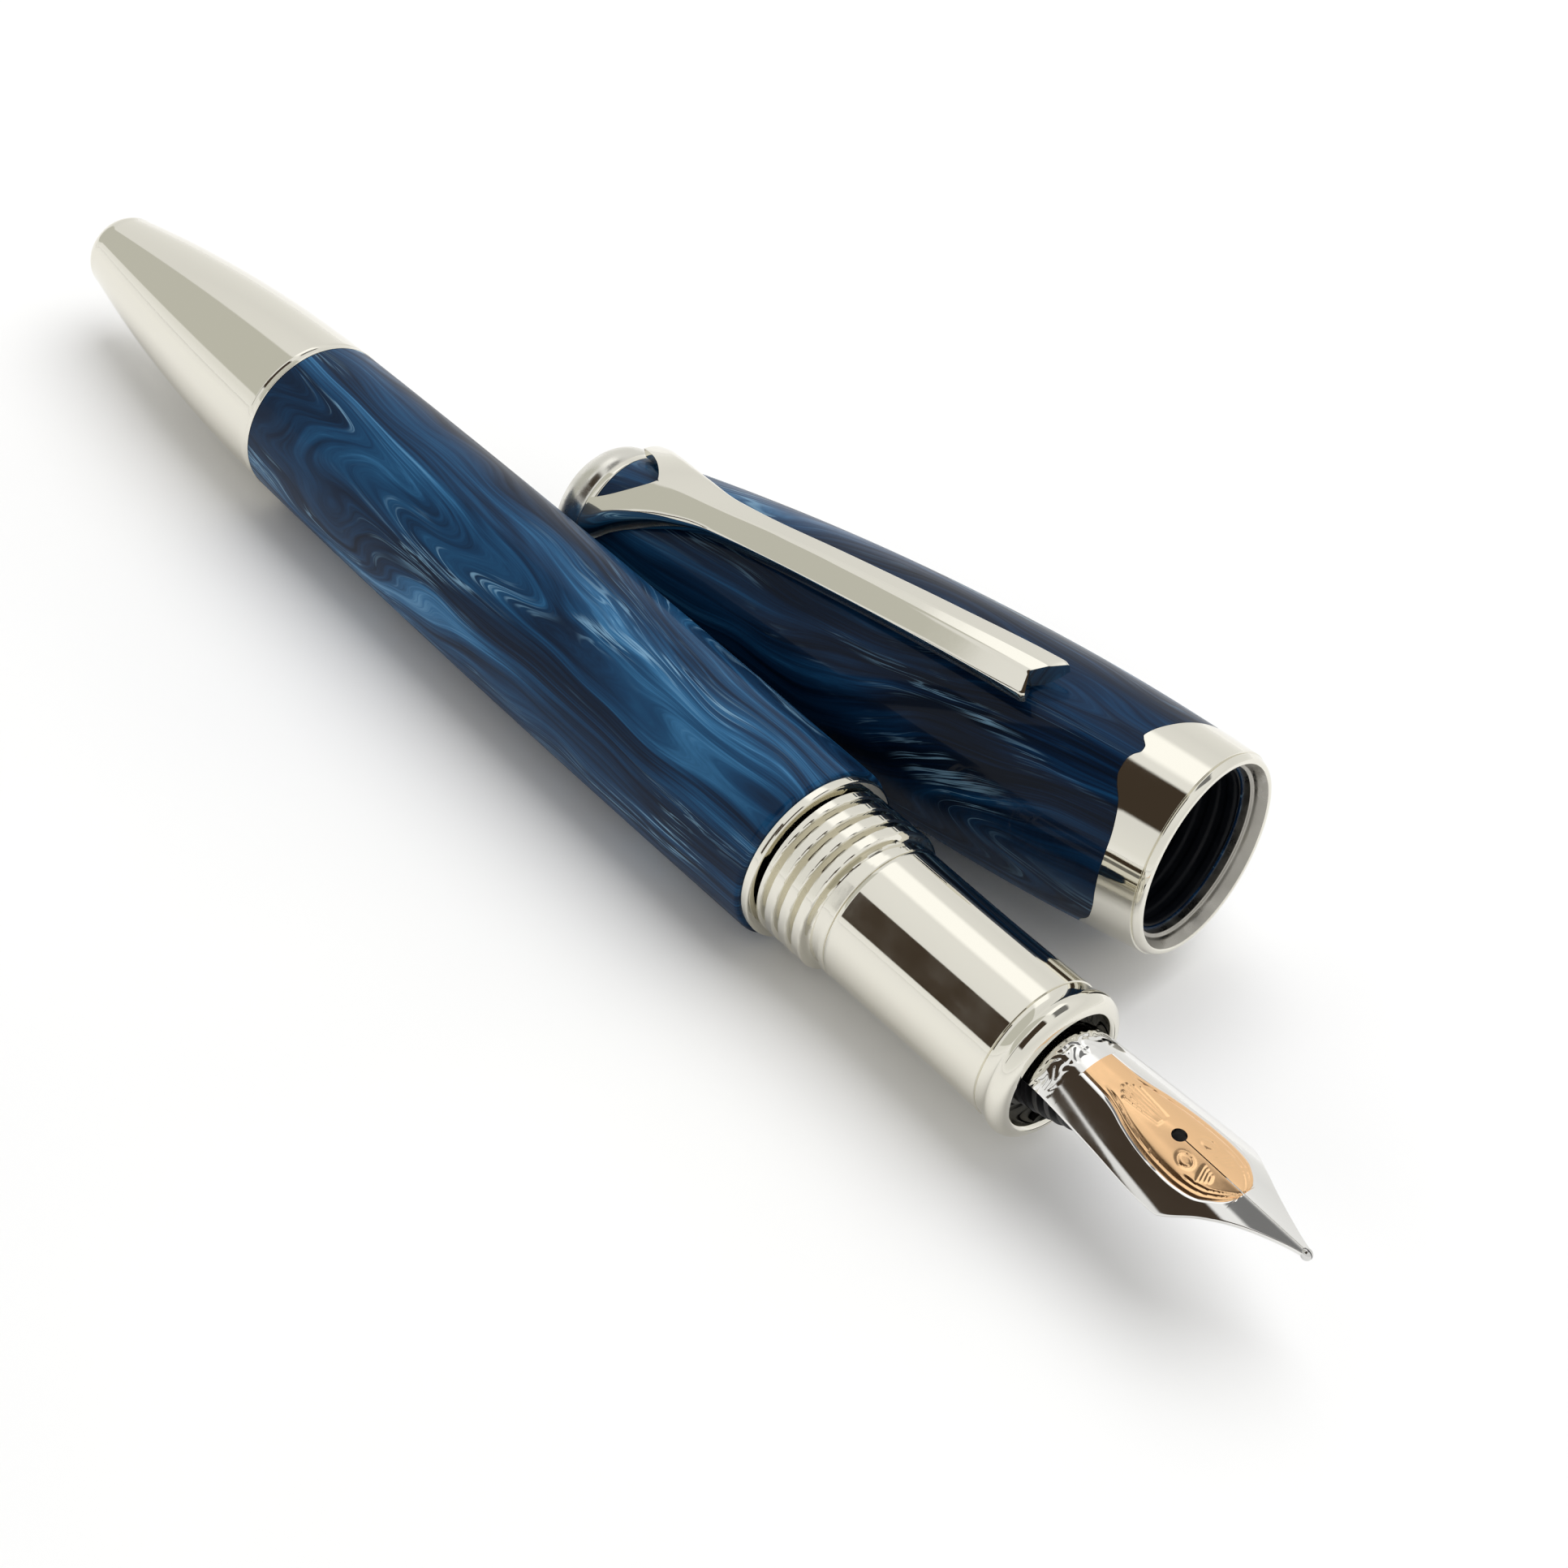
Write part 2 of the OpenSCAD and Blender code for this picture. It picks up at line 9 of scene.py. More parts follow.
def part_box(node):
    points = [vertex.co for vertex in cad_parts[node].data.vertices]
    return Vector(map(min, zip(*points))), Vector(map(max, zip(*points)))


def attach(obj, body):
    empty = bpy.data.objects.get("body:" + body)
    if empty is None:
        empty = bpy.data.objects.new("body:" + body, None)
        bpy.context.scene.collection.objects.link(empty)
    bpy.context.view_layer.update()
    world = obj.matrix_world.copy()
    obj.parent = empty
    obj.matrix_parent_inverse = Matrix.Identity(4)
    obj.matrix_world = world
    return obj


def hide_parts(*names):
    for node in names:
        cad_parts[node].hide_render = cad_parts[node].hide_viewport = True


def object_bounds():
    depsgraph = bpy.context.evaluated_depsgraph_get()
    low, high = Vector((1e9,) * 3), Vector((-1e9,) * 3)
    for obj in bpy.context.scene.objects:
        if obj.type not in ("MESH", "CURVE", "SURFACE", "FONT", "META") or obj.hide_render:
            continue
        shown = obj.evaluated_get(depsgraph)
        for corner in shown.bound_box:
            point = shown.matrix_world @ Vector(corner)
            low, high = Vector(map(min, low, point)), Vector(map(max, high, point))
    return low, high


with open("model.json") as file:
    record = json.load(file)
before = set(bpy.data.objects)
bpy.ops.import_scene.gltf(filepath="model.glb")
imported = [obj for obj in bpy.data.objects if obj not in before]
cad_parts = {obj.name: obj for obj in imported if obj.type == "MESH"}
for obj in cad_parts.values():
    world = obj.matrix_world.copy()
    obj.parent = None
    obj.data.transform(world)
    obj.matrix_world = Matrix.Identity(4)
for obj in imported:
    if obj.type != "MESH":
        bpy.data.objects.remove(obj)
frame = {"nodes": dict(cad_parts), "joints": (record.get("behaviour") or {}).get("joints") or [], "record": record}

# A fountain pen lying uncapped beside its cap. Shapes are written in millimetres in the frame
# of the pen or of the cap, and are placed in metres in the frame of the CAD model.

MM = 0.001
TURN_STEPS = 192          # faces round a turned piece
FINE_STEPS = 384          # faces round a piece whose outline changes as it goes round
cad_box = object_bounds()
record = frame["record"]
BODY = {node: body for body, nodes in record["behaviour"]["bodies"].items() for node in nodes}


# ---- Frames and sizes from the CAD model ----

def mount(name):
    return next(m for m in record["mounts"] if m["name"] == name)


def joint(name):
    return next(j for j in frame["joints"] if j["name"] == name)


def frame_from(origin, x_axis, z_axis):
    """Matrix whose X axis is x_axis and whose Z axis leans as near z_axis as it can."""
    x_axis = Vector(x_axis).normalized()
    y_axis = Vector(z_axis).cross(x_axis).normalized()
    z_axis = x_axis.cross(y_axis)
    rows = zip(x_axis, y_axis, z_axis, origin)
    return Matrix([list(row) for row in rows] + [[0, 0, 0, 1]])


MOUTH_INSET = 0.5         # the cap_mouth mount lies this far inside the cap's mouth
cap_axis = Vector(mount("cap_mouth")["axis"])
cap_origin = Vector(mount("cap_mouth")["pos_m"]) + cap_axis * MOUTH_INSET * MM
cap_side = -Vector(joint("clip_flex")["axis"])
PEN = Matrix.Identity(4)
CAP = frame_from(cap_origin, cap_axis, cap_axis.cross(cap_side))
tip_low, tip_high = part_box("nib_tipping")
tip_mid = (tip_low + tip_high) / 2
NIB = frame_from((0, 0, 0), (1, 0, 0), (0, tip_mid.y, tip_mid.z))


def span(node, place=PEN):
    """A node's rear and front x and its largest radius, in millimetres in the frame of place."""
    back = place.inverted()
    points = [back @ v.co / MM for v in frame["nodes"][node].data.vertices]
    xs = [p.x for p in points]
    return min(xs), max(xs), max(math.hypot(p.y, p.z) for p in points)


def mix(a, b, t):
    return a + (b - a) * t


def smoothstep(edge0, edge1, value):
    t = min(max((value - edge0) / (edge1 - edge0), 0), 1)
    return t * t * (3 - 2 * t)


def along(points, x):
    """Smooth height at x of a curve through [x, height] points, by monotone cubic steps."""
    if x <= points[0][0]:
        return points[0][1]
    if x >= points[-1][0]:
        return points[-1][1]

    def slope(i):
        if i in (0, len(points) - 1):
            j = max(i, 1)
            return (points[j][1] - points[j - 1][1]) / (points[j][0] - points[j - 1][0])
        before = (points[i][1] - points[i - 1][1]) / (points[i][0] - points[i - 1][0])
        after = (points[i + 1][1] - points[i][1]) / (points[i + 1][0] - points[i][0])
        return 0 if before * after <= 0 else 2 * before * after / (before + after)

    i = max(k for k in range(len(points) - 1) if points[k][0] <= x)
    (x0, y0), (x1, y1) = points[i], points[i + 1]
    width = x1 - x0
    t = (x - x0) / width
    return (y0 * (1 + 2 * t) * (1 - t) ** 2 + slope(i) * width * t * (1 - t) ** 2
            + y1 * t * t * (3 - 2 * t) + slope(i + 1) * width * t * t * (t - 1))


# ---- Mesh making ----

def piece(node, verts, faces, material, sharp=40):
    """Makes the mesh object that stands for a CAD node, from points in metres."""
    name = node + "_detail"
    mesh = bpy.data.meshes.new(name)
    mesh.from_pydata([tuple(v) for v in verts], [], faces)
    work = bmesh.new()
    work.from_mesh(mesh)
    bmesh.ops.recalc_face_normals(work, faces=work.faces)
    work.to_mesh(mesh)
    work.free()
    mesh.shade_smooth()
    mesh.set_sharp_from_angle(angle=math.radians(sharp))
    mesh.materials.append(material)
    obj = bpy.data.objects.new(name, mesh)
    bpy.context.scene.collection.objects.link(obj)
    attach(obj, BODY[node])
    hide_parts(node)
    return obj


def repaint(obj, material, place, chosen):
    """Gives a second material to the faces whose middle, in millimetres in the frame of place,
    is chosen."""
    back = place.inverted()
    obj.data.materials.append(material)
    for polygon in obj.data.polygons:
        if chosen(back @ polygon.center / MM):
            polygon.material_index = 1


def rounded(corners, steps=6):
    """A closed outline with its (x, r, fillet) corners rounded off. Points are (x, r)."""
    made = []
    for i, corner in enumerate(corners):
        here = Vector(corner[:2])
        fillet = corner[2] if len(corner) > 2 else 0
        if fillet == 0:
            made.append(tuple(here))
            continue
        before = Vector(corners[i - 1][:2]) - here
        after = Vector(corners[(i + 1) % len(corners)][:2]) - here
        start = here + before.normalized() * min(fillet, before.length * 0.49)
        end = here + after.normalized() * min(fillet, after.length * 0.49)
        for k in range(steps + 1):
            t = k / steps
            made.append(tuple(start * (1 - t) ** 2 + here * 2 * t * (1 - t) + end * t * t))
    return made


def turned(outline_at, place=PEN, steps=TURN_STEPS, closed=True):
    """Points and faces of an outline turned about X. outline_at(angle) gives its (x, r) points."""
    verts, faces, rings = [], [], []
    for k in range(steps):
        angle = 2 * math.pi * k / steps
        for i, (x, r) in enumerate(outline_at(angle)):
            if k == 0:
                rings.append([])
            if r < 1e-6:
                if not rings[i]:
                    rings[i] = [len(verts)]
                    verts.append(place @ Vector((x * MM, 0, 0)))
            else:
                rings[i].append(len(verts))
                # The angle starts at +Z and grows towards +Y
                spot = Vector((x, r * math.sin(angle), r * math.cos(angle)))
                verts.append(place @ (spot * MM))
    pairs = list(zip(rings, rings[1:] + ([rings[0]] if closed else [])))
    for a, b in pairs:
        for k in range(steps):
            n = (k + 1) % steps
            if len(a) == 1 and len(b) == 1:
                break
            if len(a) == 1:
                faces.append((a[0], b[k], b[n]))
            elif len(b) == 1:
                faces.append((a[k], b[0], a[n]))
            else:
                faces.append((a[k], b[k], b[n], a[n]))
    return verts, faces


def lathe(node, outline, material, place=PEN, closed=True, steps=TURN_STEPS, sharp=40):
    """A turned piece that stands for a CAD node. outline is a list of (x, r), or a function."""
    at = outline if callable(outline) else (lambda angle: outline)
    verts, faces = turned(at, place, steps, closed)
    return piece(node, verts, faces, material, sharp)


def leaf(node, xs, inner, outer, at, material, rows, sharp, second=None, in_second=None):
    """A thin two-sided blade with two like halves. Each half runs across from inner(x) to outer(x)
    in steps of rows, from 0 to 1, and at(x, y, under) gives a point of its upper or lower skin, in
    metres. Upper faces whose middle is inside in_second(x, y) get the second material."""
    verts, faces, paint = [], [], []
    spot = {}

    def vertex(side, i, j, under):
        x = xs[i]
        y = mix(inner(x), outer(x), rows[j])
        side = 0 if y == 0 else side
        key = (side, i, j if side else 0, under)
        if key not in spot:
            spot[key] = len(verts)
            verts.append(at(x, side * y, under))
        return spot[key]

    def face(corners, material_index=0):
        if len(set(corners)) > 2:
            faces.append(tuple(dict.fromkeys(corners)))
            paint.append(material_index)

    last = len(rows) - 1
    for side in (1, -1):
        for i in range(len(xs) - 1):
            for j in range(last):
                x = (xs[i] + xs[i + 1]) / 2
                y = mix(inner(x), outer(x), (rows[j] + rows[j + 1]) / 2)
                corners = [(i, j), (i + 1, j), (i + 1, j + 1), (i, j + 1)]
                gilt = 1 if in_second and in_second(x, y) else 0
                face([vertex(side, a, b, 0) for a, b in corners], gilt)
                face([vertex(side, a, b, 1) for a, b in corners])
            open_inside = inner(xs[i]) > 0 or inner(xs[i + 1]) > 0
            for j in [last, 0] if open_inside else [last]:
                face([vertex(side, i, j, 0), vertex(side, i + 1, j, 0),
                      vertex(side, i + 1, j, 1), vertex(side, i, j, 1)])
        for i in (0, len(xs) - 1):
            for j in range(last):
                face([vertex(side, i, j, 0), vertex(side, i, j + 1, 0),
                      vertex(side, i, j + 1, 1), vertex(side, i, j, 1)])
    obj = piece(node, verts, faces, material, sharp)
    if second:
        obj.data.materials.append(second)
        for polygon, index in zip(obj.data.polygons, paint):
            polygon.material_index = index
    return obj


def screw(x0, x1, root, crest, pitch, width, phase, taper=0.12, first=0, flat=0.35, step=0.05):
    """Outline function of a helical thread between x0 and x1, for turned(). width is the half
    width of a crest at its root, and flat is the share of it that is at full height."""
    count = round((x1 - x0) / step)
    turns = (x1 - x0 - width) / pitch

    def outline(angle):
        share = angle / (2 * math.pi)
        points = []
        for k in range(count + 1):
            x = x0 + (x1 - x0) * k / count
            turn = max(first, round((x - x0 - phase) / pitch - share)) + share
            offset = abs(x - (x0 + phase + turn * pitch)) / width
            fade = smoothstep(first, first + taper, turn) * smoothstep(turns, turns - taper, turn)
            lift = (1 - smoothstep(flat, 1, offset)) * fade
            points.append((x, mix(root, crest, lift)))
        return points

    return outline


# ---- Materials ----

class Graph:
    """Adds nodes to a shader tree and links them."""

    def __init__(self, tree):
        self.tree = tree

    def add(self, kind, inputs=None, **settings):
        node = self.tree.nodes.new(kind)
        for key, value in settings.items():
            setattr(node, key, value)
        for key, value in (inputs or {}).items():
            self.put(node.inputs[key], value)
        return node

    def put(self, socket, value):
        if isinstance(value, bpy.types.NodeSocket):
            self.tree.links.new(value, socket)
        else:
            socket.default_value = value

    def math(self, operation, a, b=0.0):
        node = self.add("ShaderNodeMath", operation=operation)
        self.put(node.inputs[0], a)
        self.put(node.inputs[1], b)
        return node.outputs[0]

    def local(self, place):
        """Coordinates in millimetres in the frame of place."""
        where = self.add("ShaderNodeTexCoord").outputs["Object"]
        spin = place.to_euler()
        return self.add("ShaderNodeMapping", {
            "Vector": where, "Location": place.translation, "Rotation": spin,
            "Scale": (MM, MM, MM)}, vector_type="TEXTURE").outputs[0]

    def noise(self, vector, scale, detail=2.0, roughness=0.5, distortion=0.0, seed=0.0):
        """Smooth noise with its own scale along each axis, in features per millimetre."""
        stretched = self.add("ShaderNodeMapping", {
            "Vector": vector, "Scale": scale, "Location": (seed, 1.7 * seed, -seed)}).outputs[0]
        return self.add("ShaderNodeTexNoise", {
            "Vector": stretched, "Scale": 1.0, "Detail": detail, "Roughness": roughness,
            "Distortion": distortion})

    def ramp(self, value, stops):
        node = self.add("ShaderNodeValToRGB", {"Fac": value})
        elements = node.color_ramp.elements
        while len(elements) < len(stops):
            elements.new(0.5)
        for element, (position, color) in zip(elements, stops):
            element.position = position
            element.color = (*color, 1)
        return node.outputs[0]

    def stretch(self, value, low, high, out_low=0.0, out_high=1.0):
        return self.add("ShaderNodeMapRange", {
            "Value": value, "From Min": low, "From Max": high, "To Min": out_low,
            "To Max": out_high}, interpolation_type="SMOOTHSTEP").outputs[0]


def srgb(*levels):
    """Linear colour of sRGB levels from 0 to 255."""
    return tuple(((v / 255 + 0.055) / 1.055) ** 2.4 if v > 10 else v / 255 / 12.92 for v in levels)


def material(name, color, **sockets):
    """A new material with its shader's plain values set. Returns it with its graph and shader."""
    made = bpy.data.materials.new(name)
    made.use_nodes = True
    shader = made.node_tree.nodes["Principled BSDF"]
    shader.inputs["Base Color"].default_value = (*color, 1)
    for key, value in sockets.items():
        shader.inputs[key.replace("_", " ")].default_value = value
    return made, Graph(made.node_tree), shader


def worn(graph, shader, place, roughness, smudge, grain, grain_scale=6.0):
    """Roughness that varies by a share smudge over the surface, and a fine bump of strength
    grain."""
    at = graph.local(place)
    patches = graph.noise(at, (0.25, 0.4, 0.4), 4, 0.6).outputs[0]
    graph.put(shader.inputs["Roughness"], graph.stretch(
        patches, 0.3, 0.7, roughness * (1 - smudge), roughness * (1 + smudge)))
    if grain:
        fine = graph.noise(at, (grain_scale,) * 3, 3).outputs[0]
        bump = graph.add("ShaderNodeBump", {
            "Height": fine, "Strength": grain, "Distance": 0.02 * MM})
        graph.put(shader.inputs["Normal"], bump.outputs[0])


def metal(name, color, roughness, place=PEN, grain=0.04, smudge=0.4):
    """Polished metal with faint smudges."""
    made, graph, shader = material(name, color, Metallic=1.0)
    worn(graph, shader, place, roughness, smudge, grain, 1.5)
    return made


def plastic(name, color, roughness, place=PEN, grain=0.15, **sockets):
    """Moulded plastic or rubber, a little uneven in tone."""
    made, graph, shader = material(name, color, **sockets)
    worn(graph, shader, place, roughness, 0.2, grain)
    tone = graph.noise(graph.local(place), (0.3, 0.5, 0.5), 3).outputs[0]
    dark = tuple(v * 0.8 for v in color)
    graph.put(shader.inputs["Base Color"], graph.ramp(tone, [(0.3, dark), (0.7, color)]))
    return made


def resin(name, place, seed, shades, pearl):
    """Marbled resin: folded layers drawn out along the piece. shades is its colour ramp, and
    pearl is how much its thin pale filaments show."""
    made, graph, shader = material(name, shades[1][1], Coat_Weight=0.18, Coat_Roughness=0.02,
                                   Specular_IOR_Level=0.06)
    plain = graph.local(place)
    push = (22, 6, 6)         # how far the layers are pushed about, in millimetres
    drift = graph.noise(plain, (0.035, 0.1, 0.1), 2, 0.5, 0, seed).outputs[1]
    pushed = graph.add("ShaderNodeVectorMath", {0: drift, 1: (0.5, 0.5, 0.5)},
                       operation="SUBTRACT").outputs[0]
    pushed = graph.add("ShaderNodeVectorMath", {0: pushed, 1: push},
                       operation="MULTIPLY").outputs[0]
    at = graph.add("ShaderNodeVectorMath", {0: plain, 1: pushed}, operation="ADD").outputs[0]

    # The layers are the levels of a smooth field, and x is how far along them a point lies
    field = graph.noise(at, (0.014, 0.1, 0.1), 1, 0.4, 0.0, seed + 3).outputs[0]
    parts = graph.add("ShaderNodeSeparateXYZ", {"Vector": at}).outputs
    across = graph.math("ADD", graph.math("MULTIPLY", parts["Y"], 0.26),
                        graph.math("MULTIPLY", parts["Z"], 0.3))
    folds = 9.0               # levels between the lows and the highs of the field
    level = graph.math("ADD", graph.math("MULTIPLY", field, folds), across)
    flow = graph.add("ShaderNodeCombineXYZ", {
        "X": parts["X"], "Y": level, "Z": parts["Z"]}).outputs[0]

    bands = graph.noise(flow, (0.03, 1.1, 0.03), 3, 0.55, 0.3, seed + 5).outputs[0]
    fibres = graph.noise(flow, (0.06, 6.5, 0.12), 5, 0.66, 0.5, seed + 11).outputs[0]
    zone = graph.noise(plain, (0.04, 0.14, 0.14), 2, 0.5, 0.3, seed + 17).outputs[0]
    value = graph.math("MULTIPLY", bands, 0.5)
    for noise, share in ((fibres, 0.32), (zone, 0.18)):
        value = graph.math("ADD", value, graph.math("MULTIPLY", noise, share))
    color = graph.ramp(value, shades)

    # Thin pale filaments, only in some zones
    thread = graph.noise(flow, (0.06, 4.2, 0.08), 3, 0.6, 0.5, seed + 23).outputs[0]
    line = graph.math("ABSOLUTE", graph.math("SUBTRACT", thread, 0.5))
    line = graph.stretch(line, 0.04, 0.0)
    patch = graph.noise(at, (0.06, 0.24, 0.24), 2, 0.5, 0.5, seed + 29).outputs[0]
    line = graph.math("MULTIPLY", line, graph.stretch(patch, 0.5, 0.68, 0.0, pearl))
    mixed = graph.add("ShaderNodeMix", {0: line, 6: color, 7: (*PEARL, 1)},
                      data_type="RGBA", blend_type="MIX")
    graph.put(shader.inputs["Base Color"], mixed.outputs[2])
    graph.put(shader.inputs["Metallic"], graph.stretch(value, 0.5, 0.64, 0.0, 0.25))
    graph.put(shader.inputs["Roughness"], graph.stretch(fibres, 0.3, 0.7, 0.45, 0.3))
    return made


CHROME = srgb(230, 227, 216)
BRASS = srgb(206, 172, 104)
STEEL = srgb(190, 190, 192)
PEARL = srgb(140, 184, 214)
barrel_resin = resin("barrel_resin", PEN, 2.0, [
    (0.4, srgb(4, 21, 42)), (0.45, srgb(8, 34, 60)), (0.5, srgb(14, 52, 85)),
    (0.55, srgb(24, 70, 107)), (0.6, srgb(48, 102, 144)), (0.67, srgb(108, 158, 194))], 0.6)
cap_resin = resin("cap_resin", CAP, 9.0, [
    (0.4, srgb(3, 13, 28)), (0.46, srgb(5, 24, 47)), (0.53, srgb(10, 42, 72)),
    (0.59, srgb(20, 64, 101)), (0.65, srgb(50, 106, 148)), (0.72, srgb(98, 152, 190))], 0.45)
pen_chrome = metal("pen_chrome", CHROME, 0.045)
cap_chrome = metal("cap_chrome", CHROME, 0.05, CAP)
brushed = metal("brushed", srgb(166, 163, 156), 0.34, CAP, grain=0.3)
satin = metal("satin", srgb(222, 220, 212), 0.28, CAP, grain=0.12)
nib_steel = metal("nib_steel", srgb(236, 235, 232), 0.05, NIB, grain=0.02)
nib_gold = metal("nib_gold", srgb(244, 200, 152), 0.14, NIB, grain=0.02)
tip_alloy = metal("tip_alloy", srgb(215, 214, 212), 0.12, NIB, grain=0.1)
brass = metal("brass", BRASS, 0.25, grain=0.2)
cap_brass = metal("cap_brass", BRASS, 0.25, CAP, grain=0.2)
steel = metal("steel", STEEL, 0.15, grain=0.1)
cap_steel = metal("cap_steel", STEEL, 0.15, CAP, grain=0.1)
core_plastic = plastic("core_plastic", srgb(26, 26, 28), 0.32)
feed_plastic = plastic("feed_plastic", srgb(24, 24, 26), 0.42, NIB, grain=0.3)
knob_plastic = plastic("knob_plastic", srgb(28, 28, 31), 0.35)
white_plastic = plastic("white_plastic", srgb(226, 226, 222), 0.4)
rubber = plastic("rubber", srgb(34, 34, 36), 0.7, grain=0.5)
liner_plastic = plastic("liner_plastic", srgb(6, 9, 16), 0.5, CAP, Specular_IOR_Level=0.2)
clear_plastic = plastic("clear_plastic", srgb(235, 242, 246), 0.03, grain=0.0,
                        Transmission_Weight=1.0, IOR=1.49)


# ---- Section: seat ring, threaded collar, grip, lip and core ----

CORE_R = 4.6
SPIGOT_R = 4.95
SEAT_X0, SEAT_X1, SEAT_R = span("section_ring")
COLLAR_X0, COLLAR_X1, CREST_R = span("thread_collar")
GRIP_X0, GRIP_X1, GRIP_R = span("grip_sleeve")
LIP_X0, LIP_X1, LIP_R = span("lip_ring")
CORE_X0, CORE_X1, _ = span("section_core")
ROOT_R = GRIP_R - 0.08
THREAD_PITCH = 1.3        # of the cap's thread
BARREL_PITCH = 1.2        # of the barrel's thread


def section_pieces():
    lathe("section_ring", rounded([
        (SEAT_X0, CORE_R), (SEAT_X0, SEAT_R, 0.08), (SEAT_X1, SEAT_R, 0.16), (SEAT_X1, CORE_R)]),
        pen_chrome)

    valley_r = ROOT_R - 0.18
    collar_r = ROOT_R + 0.02
    thread = screw(COLLAR_X0 + 0.35, COLLAR_X1 - 0.5, valley_r, CREST_R, THREAD_PITCH, width=0.64,
                   phase=0.2, first=-1, flat=0.5)
    front = [(COLLAR_X1 - 0.45, collar_r), (COLLAR_X1 - 0.1, collar_r),
             (COLLAR_X1 - 0.02, ROOT_R - 0.06), (COLLAR_X1, ROOT_R - 0.2), (COLLAR_X1, CORE_R),
             (COLLAR_X0, CORE_R), (COLLAR_X0, valley_r)]
    lathe("thread_collar", lambda angle: thread(angle) + front, pen_chrome, steps=FINE_STEPS)

    waist, count = 0.06, 40
    sleeve = [(GRIP_X0, CORE_R), (GRIP_X0, ROOT_R - 0.2), (GRIP_X0 + 0.03, ROOT_R - 0.05),
              (GRIP_X0 + 0.1, ROOT_R)]
    for k in range(1, count):
        u = k / count
        sleeve.append((mix(GRIP_X0, GRIP_X1, u),
                       mix(ROOT_R, GRIP_R, u) - waist * math.sin(math.pi * u)))
    sleeve += [(GRIP_X1 - 0.05, GRIP_R), (GRIP_X1, GRIP_R - 0.1), (GRIP_X1, CORE_R)]
    lathe("grip_sleeve", sleeve, pen_chrome)

    roll_r, inner_roll = 0.95, 0.35
    neck_r = GRIP_R - 0.07
    lip = [(LIP_X0, CORE_R), (LIP_X0, GRIP_R - 0.12), (LIP_X0 + 0.06, neck_r),
           (LIP_X0 + 0.32, neck_r)]
    for degrees in range(-36, 91, 6):
        a = math.radians(degrees)
        lip.append((LIP_X1 - roll_r * (1 - math.sin(a)), LIP_R - roll_r * (1 - math.cos(a))))
    for degrees in range(20, 91, 14):
        a = math.radians(degrees)
        lip.append((LIP_X1 - inner_roll * (1 - math.cos(a)) - 0.02,
                    LIP_R - roll_r + 0.12 - inner_roll * math.sin(a)))
    lip.append((LIP_X0 + 0.96, CORE_R - 0.14))
    lathe("lip_ring", lip, pen_chrome, sharp=30)

    bore_r, nipple_r, channel_r = 4.1, 2.3, 1.6
    rear_bore_r, wall_rear, wall_front, nipple_x = 4, 2, 5, -6
    thread = screw(CORE_X0 + 0.3, -0.9, SPIGOT_R - 0.12, SPIGOT_R, BARREL_PITCH, width=0.4, phase=0.5)
    before = rounded([(wall_front, channel_r), (wall_front, bore_r), (CORE_X1, bore_r, 0.1),
                      (CORE_X1, CORE_R, 0.1), (0.1, CORE_R)])
    after = rounded([(CORE_X0, SPIGOT_R - 0.2, 0.1), (CORE_X0, rear_bore_r, 0.1),
                     (wall_rear, rear_bore_r), (wall_rear, nipple_r), (nipple_x, nipple_r, 0.25),
                     (nipple_x, channel_r, 0.15)])
    lathe("section_core", lambda angle: before + thread(angle)[::-1] + after, core_plastic,
          steps=FINE_STEPS)


# ---- Nib unit: housing, nib, tipping and feed ----

NIB_X0, NIB_X1, _ = span("nib", NIB)
TIP_X0, TIP_X1, _ = span("nib_tipping", NIB)
NIB_BEND_X = 22.0         # the nib is a cylinder behind this and a widening cone in front
NIB_BASE_R, NIB_TIP_R = 3.5, 7.6
NIB_BEND_Z, NIB_TIP_Z = 3.55, 2.6
NIB_THICK = 0.3
NIB_ROUND = 0.07          # rounding of its edges
NIB_STEP = 0.07           # length of its mesh's columns
HOLE_X, HOLE_R = 32.7, 0.5
SLIT = 0.08
nib_edge = [(NIB_X0, 3.3), (NIB_BEND_X, 3.34), (23.5, 3.4), (29, 3.84), (34.6, 4.26), (35.1, 4.25),
            (35.5, 4.1), (37.3, 2.95), (39.3, 1.8), (41.2, 0.95), (42.4, 0.5), (NIB_X1, 0.3)]
INLAY_X0, INLAY_X1 = 25.8, 38.0
inlay_edge = [(INLAY_X0, 1.25), (27.9, 1.4), (28.8, 1.6), (30, 2), (31.5, 2.35), (33, 2.55),
              (34.4, 2.6), (35.5, 2.5), (36.3, 2.3), (37, 1.85), (37.6, 1.3), (37.9, 0.8),
              (INLAY_X1, 0.3)]


def nib_width(x):
    return along(nib_edge, x)


def inlay_width(x):
    if x < INLAY_X0 - 0.01 or x > INLAY_X1 + 0.01:
        return nib_width(x) * 0.4
    return along(inlay_edge, x)


def slit_edge(x):
    """Half width of the gap on the nib's centre line: the round hole, then the slit."""
    across = HOLE_R ** 2 - (x - HOLE_X) ** 2
    hole = math.sqrt(across) if across > 1e-9 else 0
    return max(hole, SLIT / 2 if x > HOLE_X else 0)


def near(distance, width):
    return math.exp(-(distance / width) ** 2)


def stroke(x, y, x0, y0, x1, y1, width=0.07):
    """Height from 0 to 1 of a straight engraved line at x, y."""
    dx, dy = x1 - x0, y1 - y0
    t = min(max(((x - x0) * dx + (y - y0) * dy) / (dx * dx + dy * dy), 0), 1)
    return near(math.hypot(x - x0 - t * dx, y - y0 - t * dy), width)


